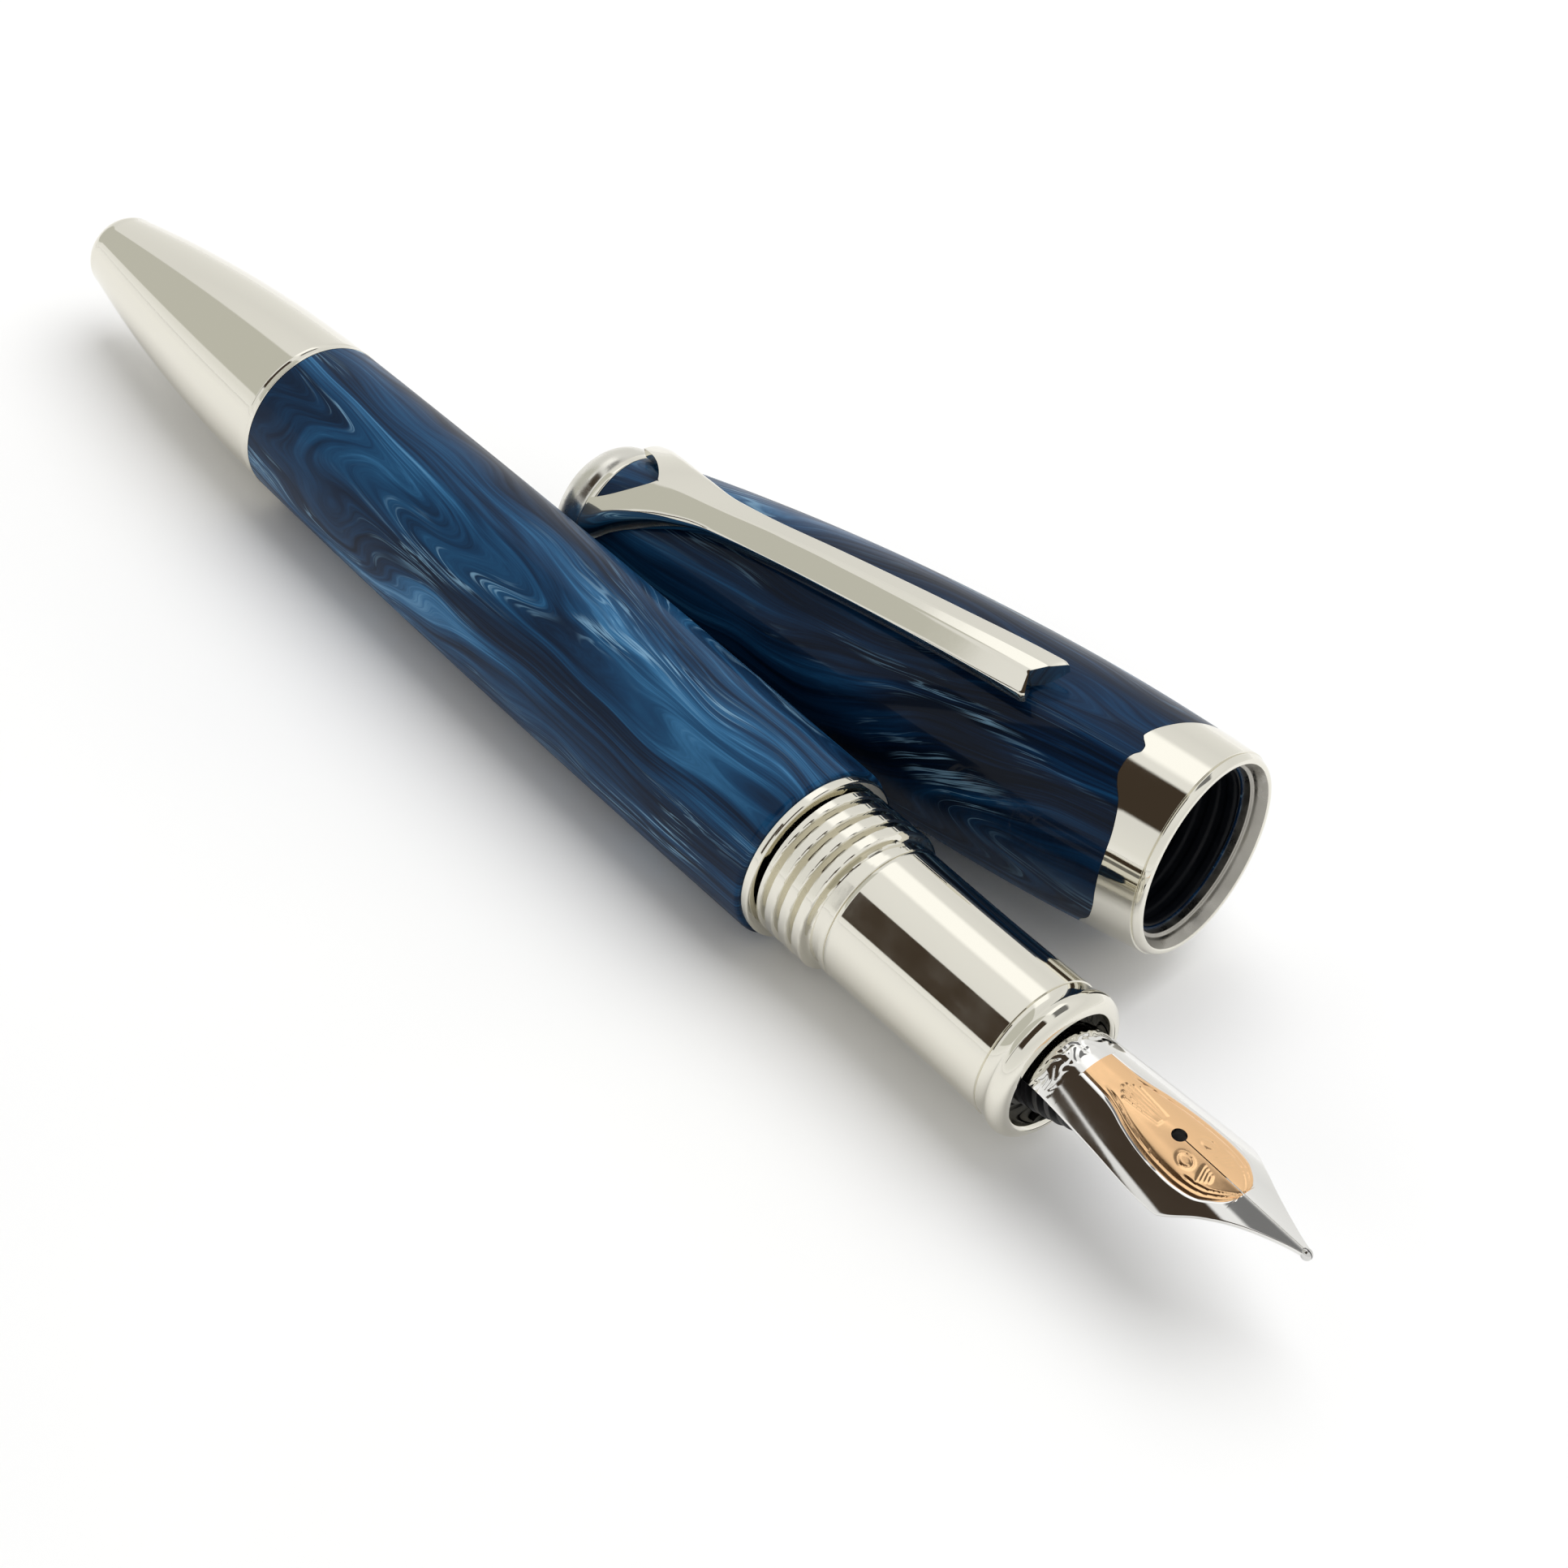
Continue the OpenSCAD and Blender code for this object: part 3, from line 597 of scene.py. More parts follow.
def ornament(x, y):
    """Depth of the engraving, in millimetres, with y measured from the centre line."""
    cut = 0.0
    if INLAY_X0 <= x <= INLAY_X1:
        edge = inlay_width(x)
        cut += 0.05 * near(y - edge, 0.08)
        if x > 27:
            border = edge - 0.42 * smoothstep(26.9, 27.6, x)
            cut += 0.05 * near(y - border, 0.09) * smoothstep(27.2, 28.6, x)
        if x > 34.6:
            cut += 0.04 * near(y - (edge - 0.76), 0.08) * smoothstep(34.6, 35.2, x)
        cut -= 0.02 * near(y - edge - 0.16, 0.08) * smoothstep(30.2, 31, x) \
            * smoothstep(36, 35, x) * (0.6 + 0.4 * math.sin(5.2 * x))
    # Long leaf behind the hole
    for k in range(3):
        cut += 0.04 * stroke(x, y, 28.1 + 0.3 * k, 0.14 + 0.27 * k, 31.3, 0.1 + 0.16 * k, 0.08)
    # A loop and a fan of short strokes on each side of the slit
    loop = math.hypot((x - 34.15 + 0.5 * (y - 1)) / 0.62, (y - 1.0 - 0.3 * (x - 34.15)) / 0.42)
    cut += 0.045 * near(loop - 1, 0.19)
    for k in range(4):
        cut += 0.04 * stroke(x, y, 35.2 + 0.26 * k, 0.5 + 0.06 * k, 35.55 + 0.2 * k, 1.45 - 0.16 * k,
                             0.08)
    # Small curls round the base
    curls = math.sin(6.5 * x + 2 * math.sin(4 * y)) * math.sin(5.5 * y + 1.5 * math.sin(5 * x))
    cut += 0.018 * curls * smoothstep(23.5, 23.8, x) * smoothstep(25.3, 24.9, x)
    return cut


def nib_point(x, y, under):
    t = min(max((x - NIB_BEND_X) / (NIB_X1 - NIB_BEND_X), 0), 1)
    r = mix(NIB_BASE_R, NIB_TIP_R, t)
    top = mix(NIB_BEND_Z - 0.03, NIB_TIP_Z, t) if x > NIB_BEND_X else NIB_BASE_R
    a = math.asin(max(-1, min(1, y / r)))
    depth = NIB_THICK if under else 0.02 + ornament(x, abs(y))
    edge = nib_width(x) - abs(y)
    if not under and edge < NIB_ROUND:
        depth += NIB_ROUND - math.sqrt(max(NIB_ROUND ** 2 - (NIB_ROUND - edge) ** 2, 0))
    spot = Vector((x, (r - depth) * math.sin(a), top - r + (r - depth) * math.cos(a)))
    return NIB @ (spot * MM)


def nib_pieces():
    x0, x1, r = span("nib_housing")
    housing_bore_r = 3.55
    lathe("nib_housing", rounded([
        (x0, housing_bore_r), (x0, r, 0.1), (x1, r, 0.1), (x1, housing_bore_r, 0.15)]), core_plastic)

    shank_count, hole_count = 20, 24
    columns = [NIB_X0 + k * (NIB_BEND_X - NIB_X0) / shank_count for k in range(shank_count)]
    columns += [NIB_BEND_X + NIB_STEP * k for k in range(int((NIB_X1 - NIB_BEND_X) / NIB_STEP))]
    columns = [x for x in columns if abs(x - HOLE_X) > HOLE_R + 0.03]
    columns += [HOLE_X - HOLE_R * math.cos(math.pi * k / hole_count) for k in range(hole_count + 1)]
    columns += [INLAY_X0, NIB_X1]
    columns = sorted(columns)

    # Rows follow the inlay's edge: the first ones lie inside it and the rest outside
    inside, outside = 26, 22

    def at(x, y, under):
        share = (abs(y) - slit_edge(x)) / (nib_width(x) - slit_edge(x))
        if share <= 0.5:
            moved = mix(slit_edge(x), inlay_width(x), share * 2)
        else:
            moved = mix(inlay_width(x), nib_width(x), share * 2 - 1)
        return nib_point(x, math.copysign(moved, y) if moved else 0, under)

    rows = [k / inside / 2 for k in range(inside)] + [0.5 + k / outside / 2 for k in range(outside)]
    rows += [0.985, 0.995, 1.0]

    def gilt(x, y):
        share = (y - slit_edge(x)) / (nib_width(x) - slit_edge(x))
        return INLAY_X0 < x < INLAY_X1 and share < 0.5

    leaf("nib", columns, slit_edge, nib_width, at, nib_steel, sorted(rows), 30, nib_gold, gilt)
    tipping()


def tipping():
    """Two polished half balls, one on each tine, that lean into the slit."""
    verts, faces = [], []
    radius = (TIP_X1 - TIP_X0) / 2
    centre = Vector(((TIP_X0 + TIP_X1) / 2, 0, (NIB.inverted() @ (tip_mid / MM)).z))
    rings, around = 20, 40
    for side in (1, -1):
        start = len(verts)
        for i in range(rings + 1):
            polar = math.pi / 2 * i / rings * 0.96
            for k in range(around):
                turn = 2 * math.pi * k / around
                bulge = Vector((
                    math.cos(turn) * math.sin(polar), side * (math.cos(polar) * 0.92 + 0.02),
                    math.sin(turn) * math.sin(polar)))
                verts.append(NIB @ ((centre + bulge * radius * 0.98) * MM))
        for i in range(rings):
            for k in range(around):
                n = (k + 1) % around
                a, b = start + i * around, start + (i + 1) * around
                faces.append((a + k, a + n, b + n, b + k))
        faces.append(tuple(start + k for k in range(around)))
        faces.append(tuple(start + rings * around + k for k in range(around)))
    piece("nib_tipping", verts, faces, tip_alloy, 60)


# ---- Converter: mouth, tube, collar, bush, ball, seal, rod, knob and spindle ----

TUBE_IN_R = 3.0           # inner radius of the ink tube


def bush(node, inner, material, edge, place=PEN):
    """A plain tube with rounded edges, as long and as wide as its CAD node."""
    x0, x1, r = span(node, place)
    lathe(node, rounded([(x0, inner, edge), (x0, r, edge), (x1, r, edge), (x1, inner, edge)]),
          material, place)


def converter_pieces():
    x0, x1, r = span("converter_mouth")
    socket_r, feed_hole_r, socket_end = 2.35, 1.6, -6.4
    lathe("converter_mouth", rounded([
        (x1, socket_r, 0.2), (x1, r, 0.2), (x0 + 1.5, r), (x0 + 1.5, TUBE_IN_R), (x0, TUBE_IN_R, 0.1),
        (x0, feed_hole_r, 0.1), (socket_end, feed_hole_r), (socket_end, socket_r)]), core_plastic)
    bush("converter_tube", TUBE_IN_R, clear_plastic, edge=0.05)
    x0, x1, r = span("converter_collar")
    tube_r, rod_hole_r, step_x = 3.5, 1.9, x0 + 4.5
    groove_r = r - 0.15
    lathe("converter_collar", rounded([
        (x1, tube_r), (x1, r, 0.25), (x0 + 5.6, r, 0.1), (x0 + 5.4, groove_r, 0.1),
        (x0 + 5.1, groove_r, 0.1), (x0 + 4.9, r, 0.1), (x0, r, 0.35), (x0, rod_hole_r, 0.15),
        (step_x, rod_hole_r), (step_x, tube_r)]), pen_chrome)
    x0, x1, r = span("converter_nut")
    nut_bore_r, flange = 1.55, 3.5
    lathe("converter_nut", rounded([
        (x0, nut_bore_r, 0.1), (x0, r, 0.1), (x0 + flange, r, 0.05), (x0 + flange, TUBE_IN_R),
        (x1, TUBE_IN_R, 0.15), (x1, nut_bore_r, 0.1)]), brass)

    low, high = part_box("agitator_ball")
    ball = (low + high) / 2 / MM
    ball_r = (high.x - low.x) / 2 / MM
    count = 32
    outline = [(-ball_r * math.cos(math.pi * k / count), ball_r * math.sin(math.pi * k / count))
               for k in range(count + 1)]
    lathe("agitator_ball", outline, steel, Matrix.Translation(ball * MM), closed=False, steps=64)

    x0, x1, r = span("piston_seal")
    waist_r, socket_r = r - 0.32, 1.5
    lathe("piston_seal", rounded([
        (x1, 0), (x1, r - 0.15, 0.15), (x1 - 0.3, r, 0.12), (x1 - 0.9, r, 0.12),
        (x1 - 1.2, waist_r, 0.2), (x0 + 1.2, waist_r, 0.2), (x0 + 0.9, r, 0.12), (x0, r, 0.15),
        (x0, socket_r), (x1 - 1.5, socket_r), (x1 - 1.5, 0)]), rubber, closed=False)
    x0, x1, r = span("piston_rod")
    screw_hole_r = 0.9
    lathe("piston_rod", rounded([
        (x0, screw_hole_r, 0.08), (x0, r, 0.15), (x1, r), (x1, screw_hole_r)]), white_plastic)

    x0, x1, r = span("converter_knob")
    flutes, flute_depth = 16, 0.16
    rim_r, hole_r = r - 0.02, 1.65

    def knob(angle):
        grip_r = rim_r - flute_depth * max(0, math.cos(angle * flutes)) ** 2
        return rounded([
            (x0, 0), (x0, r - 0.1, 0.45), (x0 + 1.1, rim_r, 0.1), (x0 + 1.6, grip_r, 0.1),
            (x1 - 0.9, grip_r, 0.1), (x1 - 0.5, rim_r, 0.1), (x1, r - 0.1, 0.2), (x1, hole_r, 0.1),
            (x0 + 1.2, hole_r), (x0 + 1.2, 0)])

    lathe("converter_knob", knob, knob_plastic, closed=False, steps=FINE_STEPS)

    x0, x1, r = span("spindle")
    lead = screw(x0 + 1, x1 - 0.2, r - 0.14, r, pitch=1.5, width=0.5, phase=0.6)
    lathe("spindle", lambda angle: [(x0, 0), (x0, r - 0.05)] + lead(angle)
          + [(x1, r - 0.25), (x1, 0)], brass, closed=False, steps=96)


# ---- Barrel: sleeve, threaded bush, seal, ring, tail and its insert ----

BARREL_X0, BARREL_X1, BARREL_R = span("barrel_sleeve")
TAIL_X0, TAIL_X1, TAIL_R = span("tail_cone")
BARREL_FRONT_R = 6.5
BULGE_X = -22.0           # where the barrel is thickest
BARREL_REAR_R = 6.16
LINER_R, LINER_END = 5.7, -9.6
REAR_BORE_R = 5.2
TAIL_BORE_R = 4.9
TAIL_TIP = 1.9            # length of the rounded end


def barrel_r(x):
    if x > BULGE_X:
        return BARREL_R - (BARREL_R - BARREL_FRONT_R) * ((x - BULGE_X) / BULGE_X) ** 2
    return BARREL_R - (BARREL_R - BARREL_REAR_R) * ((BULGE_X - x) / (BARREL_X0 - BULGE_X)) ** 2


def tail_r(u):
    return TAIL_R * (1 - 0.098 * u - 0.395 * u * u)


def barrel_pieces():
    count = 90
    edge = 0.28
    sleeve = rounded([(BARREL_X1, LINER_R, 0.1), (BARREL_X1, BARREL_FRONT_R - 0.01, edge),
                      (BARREL_X1 - 2 * edge, barrel_r(-2 * edge))])
    for k in range(1, count + 1):
        x = mix(BARREL_X1 - 2 * edge, BARREL_X0 + 0.04, k / count)
        sleeve.append((x, barrel_r(x)))
    sleeve += [(BARREL_X0, BARREL_REAR_R - 0.04), (BARREL_X0, REAR_BORE_R),
               (LINER_END, REAR_BORE_R), (LINER_END, LINER_R)]
    lathe("barrel_sleeve", sleeve, barrel_resin, steps=FINE_STEPS)

    x0, x1, r = span("barrel_liner")
    thread = screw(x0, x1, 5.12, 5.0, BARREL_PITCH, width=0.4, phase=0.5)
    lathe("barrel_liner", lambda angle: thread(angle) + [(x1, r), (x0, r)], brass,
          steps=FINE_STEPS)

    low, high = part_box("barrel_o_ring")
    bead_r = (high.x - low.x) / 2 / MM
    mid_x = (high.x + low.x) / 2 / MM
    mid_r = high.z / MM - bead_r
    count = 28
    turns = [math.tau * k / count for k in range(count)]
    lathe("barrel_o_ring", [
        (mid_x + bead_r * math.cos(turn), mid_r + bead_r * math.sin(turn)) for turn in turns], rubber)

    x0, x1, r = span("tail_ring")
    lathe("tail_ring", rounded([
        (x0, TAIL_BORE_R), (x0, r - 0.06, 0.03), (x0 + 0.08, r - 0.06), (x0 + 0.14, r, 0.05),
        (x1 - 0.02, r, 0.06), (x1, TAIL_BORE_R)]), pen_chrome)

    body_x0 = TAIL_X0 + TAIL_TIP
    tail = [(TAIL_X1, TAIL_BORE_R), (TAIL_X1, TAIL_R - 0.05), (TAIL_X1 - 0.06, TAIL_R - 0.01)]
    count = 70
    for k in range(1, count + 1):
        u = k / count
        tail.append((mix(TAIL_X1, body_x0, u), tail_r(u)))
    count = 18
    for k in range(1, count + 1):
        a = math.pi / 2 * k / count
        tail.append((body_x0 - TAIL_TIP * math.sin(a), tail_r(1) * math.cos(a) if k < count else 0))
    hollow_end, hollow_r, step_x = TAIL_X1 - 12, 3.5, TAIL_X1 - 6.5
    tail += [(hollow_end, 0), (hollow_end, hollow_r), (step_x, hollow_r), (step_x, TAIL_BORE_R)]
    lathe("tail_cone", tail, pen_chrome, sharp=50)

    x0, x1, r = span("tail_insert")
    insert_bore_r = 3.95
    lathe("tail_insert", rounded([
        (x1, insert_bore_r, 0.1), (x1, r, 0.15), (BARREL_X0, r), (BARREL_X0, TAIL_BORE_R),
        (x0, TAIL_BORE_R, 0.15), (x0, insert_bore_r, 0.1)]), core_plastic)


# ---- Cap: sleeve, band, bushes, finial and clip ----

SLEEVE_X0, _, _ = span("cap_sleeve", CAP)
CAP_LEN = -SLEEVE_X0
CAP_MOUTH_R, CAP_MAX_R, CAP_TOP_R = 7.42, 8.13, 5.3
CAP_BULGE = 0.3           # where the cap is thickest, as a share of its length
BAND_STEPS = 720
BAND_IN_R = 6.9
BAND_MID_R = 7.75         # outer radius halfway along the band
BAND_ROLL = 26.0          # turn of the band's wave from the clip, in degrees
# Plan of the band: distance across from the middle of its wave, and length there
band_plan = [(-7.8, 3.4), (-7.4, 3.45), (-6.7, 3.8), (-6.2, 4.2), (-5.6, 4.9), (-5.1, 5.25),
             (-4.3, 5.34), (-3.9, 5.2), (-3.45, 4.9), (-3.1, 4.95), (-2.6, 5.45), (-2.4, 5.6),
             (-2.1, 5.56), (0, 4.9), (2.1, 4.2), (4, 3.55), (5.2, 3.3), (7.8, 3.3)]
STEP_X, STEP_R = -1.6, 6.19
RIM_R = 6.88              # inner edge of the rim, where its brushed bevel starts
STUD_R = 1.5
CAP_BORE_R, CAP_BORE_END = 6.05, -25.5
INNER_CAP_R, INNER_CAP_END, INNER_BORE_R = 4.9, -49.4, 4.45


def cap_r(x):
    t = -x / CAP_LEN
    if t < CAP_BULGE:
        return CAP_MAX_R - (CAP_MAX_R - CAP_MOUTH_R) * ((CAP_BULGE - t) / CAP_BULGE) ** 2
    return CAP_MAX_R - (CAP_MAX_R - CAP_TOP_R) * ((t - CAP_BULGE) / (1 - CAP_BULGE)) ** 2


def band_length(angle):
    across = math.sin(angle - math.radians(BAND_ROLL))
    return along(band_plan, BAND_MID_R * across)


def cap_sleeve_outline(angle):
    rear, front = SLEEVE_X0, -band_length(angle)
    count = 90
    outline = [(rear, STUD_R), (rear, CAP_TOP_R - 0.1), (rear + 0.08, cap_r(rear + 0.08))]
    for k in range(1, count):
        x = mix(rear + 0.08, front - 0.03, k / count)
        outline.append((x, cap_r(x)))
    return outline + [
        (front - 0.03, cap_r(front)), (front, cap_r(front) - 0.03), (front, BAND_IN_R),
        (STEP_X, BAND_IN_R), (STEP_X, CAP_BORE_R), (CAP_BORE_END, CAP_BORE_R),
        (CAP_BORE_END, INNER_CAP_R), (INNER_CAP_END, INNER_CAP_R), (INNER_CAP_END, STUD_R)]


def cap_band_outline(angle):
    rear = -band_length(angle)
    proud = 0.025             # height of the band above the resin
    outline = [(rear, BAND_IN_R), (rear, cap_r(rear) - 0.03), (rear + 0.05, cap_r(rear) + proud)]
    count = 16
    for k in range(1, count + 1):
        x = mix(rear + 0.05, -0.62, k / count)
        outline.append((x, cap_r(x) + proud))
    outline += rounded([
        (-0.5, CAP_MOUTH_R + proud, 0.12), (-0.06, CAP_MOUTH_R - 0.2, 0.2), (0, CAP_MOUTH_R - 0.36, 0.1),
        (0, RIM_R, 0.08), (-0.7, 6.52, 0.1), (-0.98, 6.46, 0.08), (-1.05, STEP_R + 0.02, 0.06),
        (STEP_X, STEP_R)])
    return outline + [(STEP_X, BAND_IN_R)]


def cap_pieces():
    lathe("cap_sleeve", cap_sleeve_outline, cap_resin, CAP, steps=BAND_STEPS)
    band = lathe("cap_band", cap_band_outline, cap_chrome, CAP, steps=BAND_STEPS, sharp=28)
    repaint(band, brushed, CAP,
            lambda spot: spot.x < -0.1 and math.hypot(spot.y, spot.z) < RIM_R)

    x0, x1, r = span("cap_thread_ring", CAP)
    valley_r, end_r, crest_r = 5.9, 5.85, 5.8
    thread = screw(x0 + 0.2, x1 - 0.1, valley_r, crest_r, THREAD_PITCH, width=0.5, phase=0.6)
    lathe("cap_thread_ring", lambda angle: [(x0, end_r)] + thread(angle) + [
        (x1, end_r), (x1, r - 0.05), (x1 - 0.05, r), (x0, r)], liner_plastic, CAP, steps=FINE_STEPS)

    x0, x1, r = span("inner_cap", CAP)
    wall = 1
    lathe("inner_cap", rounded([
        (x0, 0), (x0, r, 0.3), (x1, r, 0.1), (x1, INNER_BORE_R, 0.2), (x0 + wall, INNER_BORE_R, 0.8),
        (x0 + wall, 0)]), liner_plastic, CAP, closed=False)

    x0, x1, r = span("finial", CAP)
    dome_x, hole_x, count = x1 - 0.9, x1 - 2.5, 36
    dome = [(hole_x, STUD_R), (x1, STUD_R), (x1, r - 0.14), (x1 - 0.14, r - 0.02), (dome_x, r)]
    for k in range(1, count + 1):
        a = math.pi / 2 * k / count
        dome.append((dome_x - (dome_x - x0) * math.sin(a), r * math.cos(a) if k < count else 0))
    dome.append((hole_x, 0))
    lathe("finial", dome, satin, CAP, closed=False)
    x0, x1, r = span("clip_ring", CAP)
    lathe("clip_ring", rounded([
        (x0, STUD_R), (x0, r - 0.02, 0.12), (x1, r - 0.02, 0.12), (x1, STUD_R)]), cap_chrome, CAP)
    bush("finial_nut", STUD_R, cap_brass, edge=0.15, place=CAP)
    x0, x1, r = span("finial_stud", CAP)
    lathe("finial_stud", rounded([(x0, 0), (x0, r, 0.2), (x1, r, 0.3), (x1, 0)]), cap_steel, CAP,
          closed=False)


CLIP_X0, CLIP_X1, _ = span("clip", CAP)
CLIP_THICK = 0.9
CLIP_GAP = 0.22
# Ridge height, half width and the radius of the head's crown, each at an x of the cap. The head's
# points are measured from the clip's rear.
clip_top = [(CLIP_X0, 5.7), (CLIP_X0 + 1.4, 6.5), (CLIP_X0 + 3.4, 7.3), (CLIP_X0 + 5.9, 7.75),
            (CLIP_X0 + 9.9, 8.0), (CLIP_X0 + 13.9, 8.3), (-31.5, 9.0), (-21.6, 9.75), (-13.6, 10.06),
            (CLIP_X1, 10.07)]
clip_half = [(CLIP_X0, 4.95), (CLIP_X0 + 1.4, 4.5), (CLIP_X0 + 2.8, 3.85), (CLIP_X0 + 4.9, 3.05),
             (CLIP_X0 + 7.2, 2.4), (CLIP_X0 + 10.9, 1.7), (CLIP_X0 + 14.9, 1.57), (-30, 1.67),
             (-21, 1.82), (CLIP_X1 - 0.5, 1.98), (CLIP_X1, 1.8)]
clip_crown = [(CLIP_X0, 6.35), (CLIP_X0 + 4.4, 7.5), (CLIP_X0 + 9.4, 7.95), (CLIP_X0 + 15.4, 8.5),
              (-28, 9.2), (CLIP_X1, 10.2)]
NOTCH_X, NOTCH_LEN, NOTCH_HALF = CLIP_X0 - 1, 5.4, 3.0
# The free end is cut to a vee. Its bottom and its near corner stop short of the far corner, and
# its bottom lies a little to the near side. Behind it the mesh is drawn back over a short reach.
VEE, VEE_NEAR, VEE_FAR = 1.66, 0.9, 0.0
VEE_Y, VEE_REACH = -0.28, 5.0
RIDGE_SHIFT = 0.35             # the ridge lies this far to the far side of the middle
EDGE_ROUND = 0.16              # rounding of the blade's edges
HEAD_ROUND = 0.8               # and of the head's
KEEL_X = CLIP_X1 - 3.4         # the keel under the free end is at full height in front of this


def clip_width(x):
    return along(clip_half, x)


def clip_notch(x):
    """Half width of the crescent between the two legs."""
    t = (x - NOTCH_X) / NOTCH_LEN
    return NOTCH_HALF * max(1 - t ** 1.7, 0) ** 0.8 if t < 1 else 0


def clip_point(x, y, under):
    """A point of the clip: a rounded head behind, and a blade with a broad flat ridge in front."""
    w = clip_width(x)
    back = x - CLIP_X0
    crown = math.sqrt(max(along(clip_crown, x) ** 2 - y * y, 0))
    share = abs(y) / w
    ridge = along(clip_top, x)
    slope = mix(0.25, 0.42, smoothstep(-44, -14, x))
    rib_w = mix(0.06, 0.28, smoothstep(-46, CLIP_X1, x))
    rib = mix(0.01, 0.05, smoothstep(-44, -20, x))
    facet = ridge - slope * max(share - rib_w, 0) - rib * smoothstep(rib_w * 0.8, rib_w * 1.3, share)
    blade = smoothstep(3, 11.5, back)
    top = min(mix(crown, facet, blade), ridge + 0.02)
    edge = w - abs(y)
    round_r = mix(HEAD_ROUND, EDGE_ROUND, smoothstep(2, 15, back))
    if edge < round_r:
        top -= round_r - math.sqrt(max(round_r ** 2 - (round_r - edge) ** 2, 0))
    reach = cap_r(x) + CLIP_GAP
    skin = math.sqrt(max(reach ** 2 - y * y, 0))
    under_z = max(skin, ridge - CLIP_THICK - 0.25 * blade)
    under_z = mix(skin, under_z, smoothstep(5.4, 10.4, back))
    keel = smoothstep(KEEL_X - 2, KEEL_X, x) * max(1 - share * 1.15, 0)
    under_z = mix(under_z, skin, keel ** 0.7 if keel > 0 else 0)
    z = min(under_z, top - 0.12) if under else top
    y += RIDGE_SHIFT * (1 - share) * smoothstep(8, 16, back)
    near_side = y < VEE_Y
    drawn = mix(VEE, VEE_NEAR if near_side else VEE_FAR,
                (y - VEE_Y) / ((-w if near_side else w) - VEE_Y))
    x -= drawn * max((x - CLIP_X1 + VEE_REACH) / VEE_REACH, 0) ** 2
    return CAP @ (Vector((x, y, z)) * MM)


def clip_piece():
    count = 220
    columns = [mix(CLIP_X0, CLIP_X1 - 0.02, k / count) for k in range(count + 1)]
    rows = [k / 28 for k in range(26)] + [0.911, 0.933, 0.953, 0.97, 0.983, 0.993, 0.9985, 1.0]
    leaf("clip", columns, clip_notch, clip_width, clip_point, cap_chrome, rows, 32)


# ---- Studio: floor, sky, lights and camera ----

def direction(azimuth, elevation):
    """Unit vector at an azimuth from +X towards +Y and an elevation, in degrees."""
    a, e = math.radians(azimuth), math.radians(elevation)
    return Vector((math.cos(a) * math.cos(e), math.sin(a) * math.cos(e), math.sin(e)))


def studio_floor():
    size, drop = 1.2, 0.02 * MM
    bpy.ops.mesh.primitive_plane_add(size=size, location=(0, 0, cad_box[0].z - drop))
    floor = bpy.context.object
    floor.name = "studio_floor"
    paper, graph, shader = material("paper", srgb(247, 247, 248), Roughness=0.75,
                                    Specular_IOR_Level=0.2)
    tone = graph.noise(graph.local(PEN), (0.02,) * 3, 2).outputs[0]
    graph.put(shader.inputs["Base Color"], graph.ramp(tone, [
        (0.3, srgb(245, 245, 246)), (0.7, srgb(249, 249, 249))]))
    floor.data.materials.append(paper)


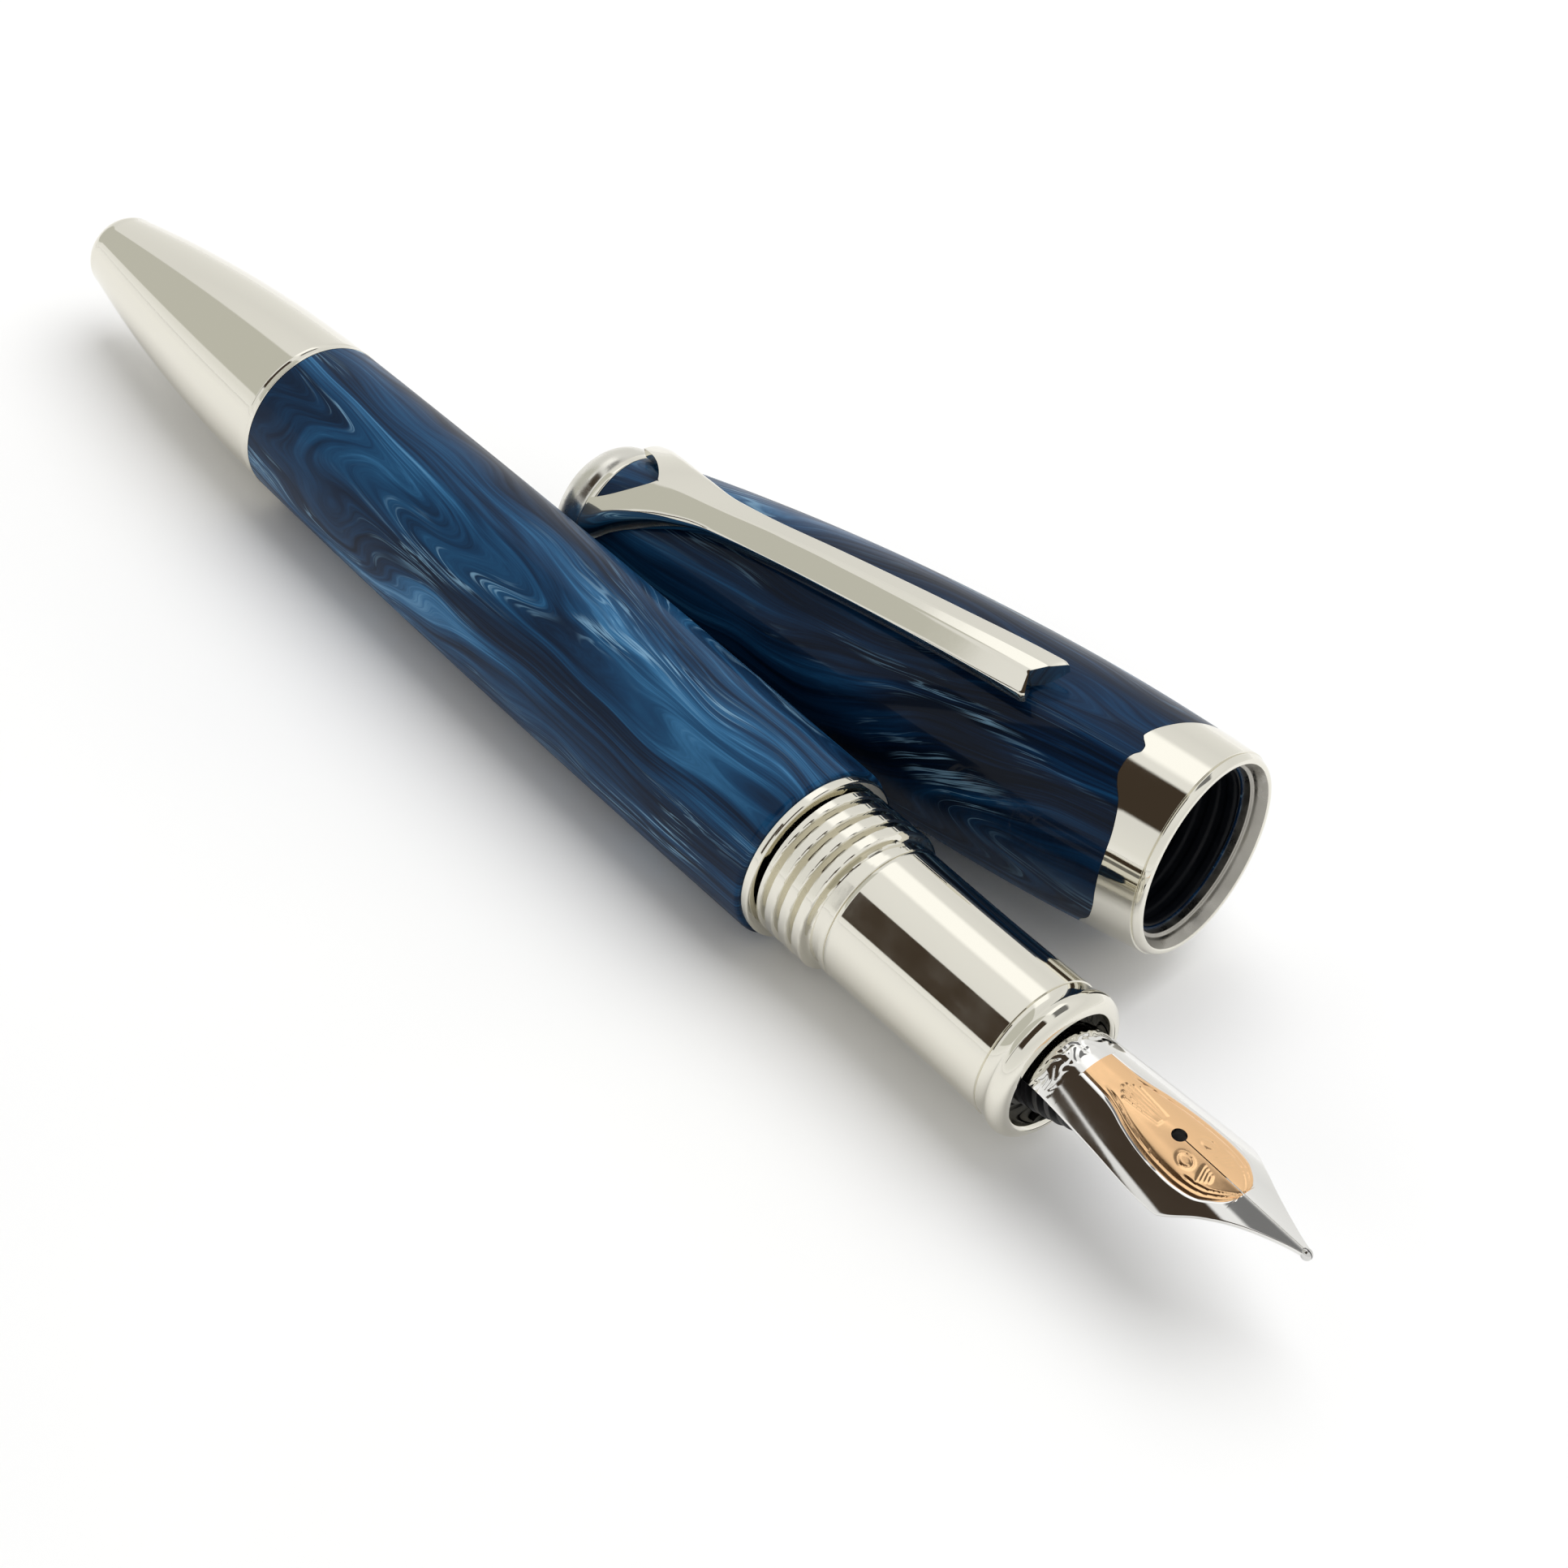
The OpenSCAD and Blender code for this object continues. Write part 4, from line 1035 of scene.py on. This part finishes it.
def studio_sky():
    """A pale room all round. It is laid out by x, and by the angle about the pen's axis from the
    horizon on the near side, so that each patch of it shows as a strip along the pen."""
    world = bpy.data.worlds.new("studio")
    bpy.context.scene.world = world
    world.use_nodes = True
    graph = Graph(world.node_tree)
    background = world.node_tree.nodes["Background"]
    toward = graph.add("ShaderNodeTexCoord").outputs["Generated"]
    parts = graph.add("ShaderNodeSeparateXYZ", {"Vector": toward}).outputs
    swept = graph.math("ARCTAN2", parts["Z"], graph.math("MULTIPLY", parts["Y"], -1.0))
    swept = graph.math("DEGREES", swept)

    def between(value, low, high, soft):
        """1 between low and high, falling to 0 over a soft edge outside them."""
        return graph.math("MULTIPLY", graph.stretch(value, low - soft, low),
                          graph.stretch(value, high + soft, high))

    def patch(base, color, x_range, angle_range, x_soft=0.01, soft=2.0):
        mask = graph.math("MULTIPLY", between(parts["X"], *x_range, x_soft),
                          between(swept, *angle_range, soft))
        return graph.add("ShaderNodeMix", {0: mask, 6: base, 7: (*color, 1)},
                         data_type="RGBA", blend_type="MIX").outputs[2]

    color = graph.ramp(parts["Z"], [(0.0, (0.98, 0.98, 0.97)), (0.12, (0.9, 0.9, 0.88)),
                                    (0.5, (0.84, 0.84, 0.83)), (1.0, (0.95, 0.95, 0.94))])
    dim, bright, grey, brown = (0.6, 0.6, 0.55), (1.25, 1.25, 1.24), (0.2,) * 3, (0.055, 0.04, 0.028)
    color = patch(color, dim, (-0.97, -0.6), (19, 92), 0.04, 3)
    color = patch(color, bright, (-0.6, -0.3), (98, 118), 0.05, 8)
    color = patch(color, grey, (-0.275, 0.3), (98, 116), 0.02, 5)
    color = patch(color, brown, (-0.47, -0.425), (9, 51), 0.006)
    color = patch(color, brown, (-0.405, 0.25), (38, 80), 0.008, 4)
    graph.put(background.inputs["Color"], color)
    background.inputs["Strength"].default_value = 1.0


def area_light(name, azimuth, elevation, distance, size, power):
    lamp = bpy.data.lights.new(name, "AREA")
    lamp.shape = "DISK"
    lamp.size = size
    lamp.energy = power
    obj = bpy.data.objects.new(name, lamp)
    bpy.context.scene.collection.objects.link(obj)
    toward = direction(azimuth, elevation)
    obj.location = toward * distance
    obj.rotation_mode = "QUATERNION"
    obj.rotation_quaternion = toward.to_track_quat("Z", "Y")
    obj.visible_glossy = False


CAMERA_PLACE = (100.2, -118.95, 131.67)
CAMERA_AZIMUTH, CAMERA_ELEVATION = 131.12, -39.11
CAMERA_ROLL = 11.96
CAMERA_LENS = 71.83


def studio_camera():
    """A camera above the nib's near side, rolled a little about the way it looks."""
    camera = bpy.data.cameras.new("camera")
    camera.sensor_width = 36
    camera.lens = CAMERA_LENS
    camera.clip_start = 0.01
    obj = bpy.data.objects.new("camera", camera)
    bpy.context.scene.collection.objects.link(obj)
    obj.location = Vector(CAMERA_PLACE) * MM
    obj.rotation_mode = "QUATERNION"
    level = (-direction(CAMERA_AZIMUTH, CAMERA_ELEVATION)).to_track_quat("Z", "Y")
    obj.rotation_quaternion = level @ Quaternion((0, 0, 1), math.radians(CAMERA_ROLL))
    bpy.context.scene.camera = obj


section_pieces()
nib_pieces()
converter_pieces()
barrel_pieces()
cap_pieces()
clip_piece()
frame["nodes"]["feed"].data.materials.clear()
frame["nodes"]["feed"].data.materials.append(feed_plastic)

studio_floor()
studio_sky()
area_light("key", azimuth=110, elevation=68, distance=0.6, size=0.7, power=2.15)
studio_camera()
bpy.context.scene.view_settings.view_transform = "Standard"
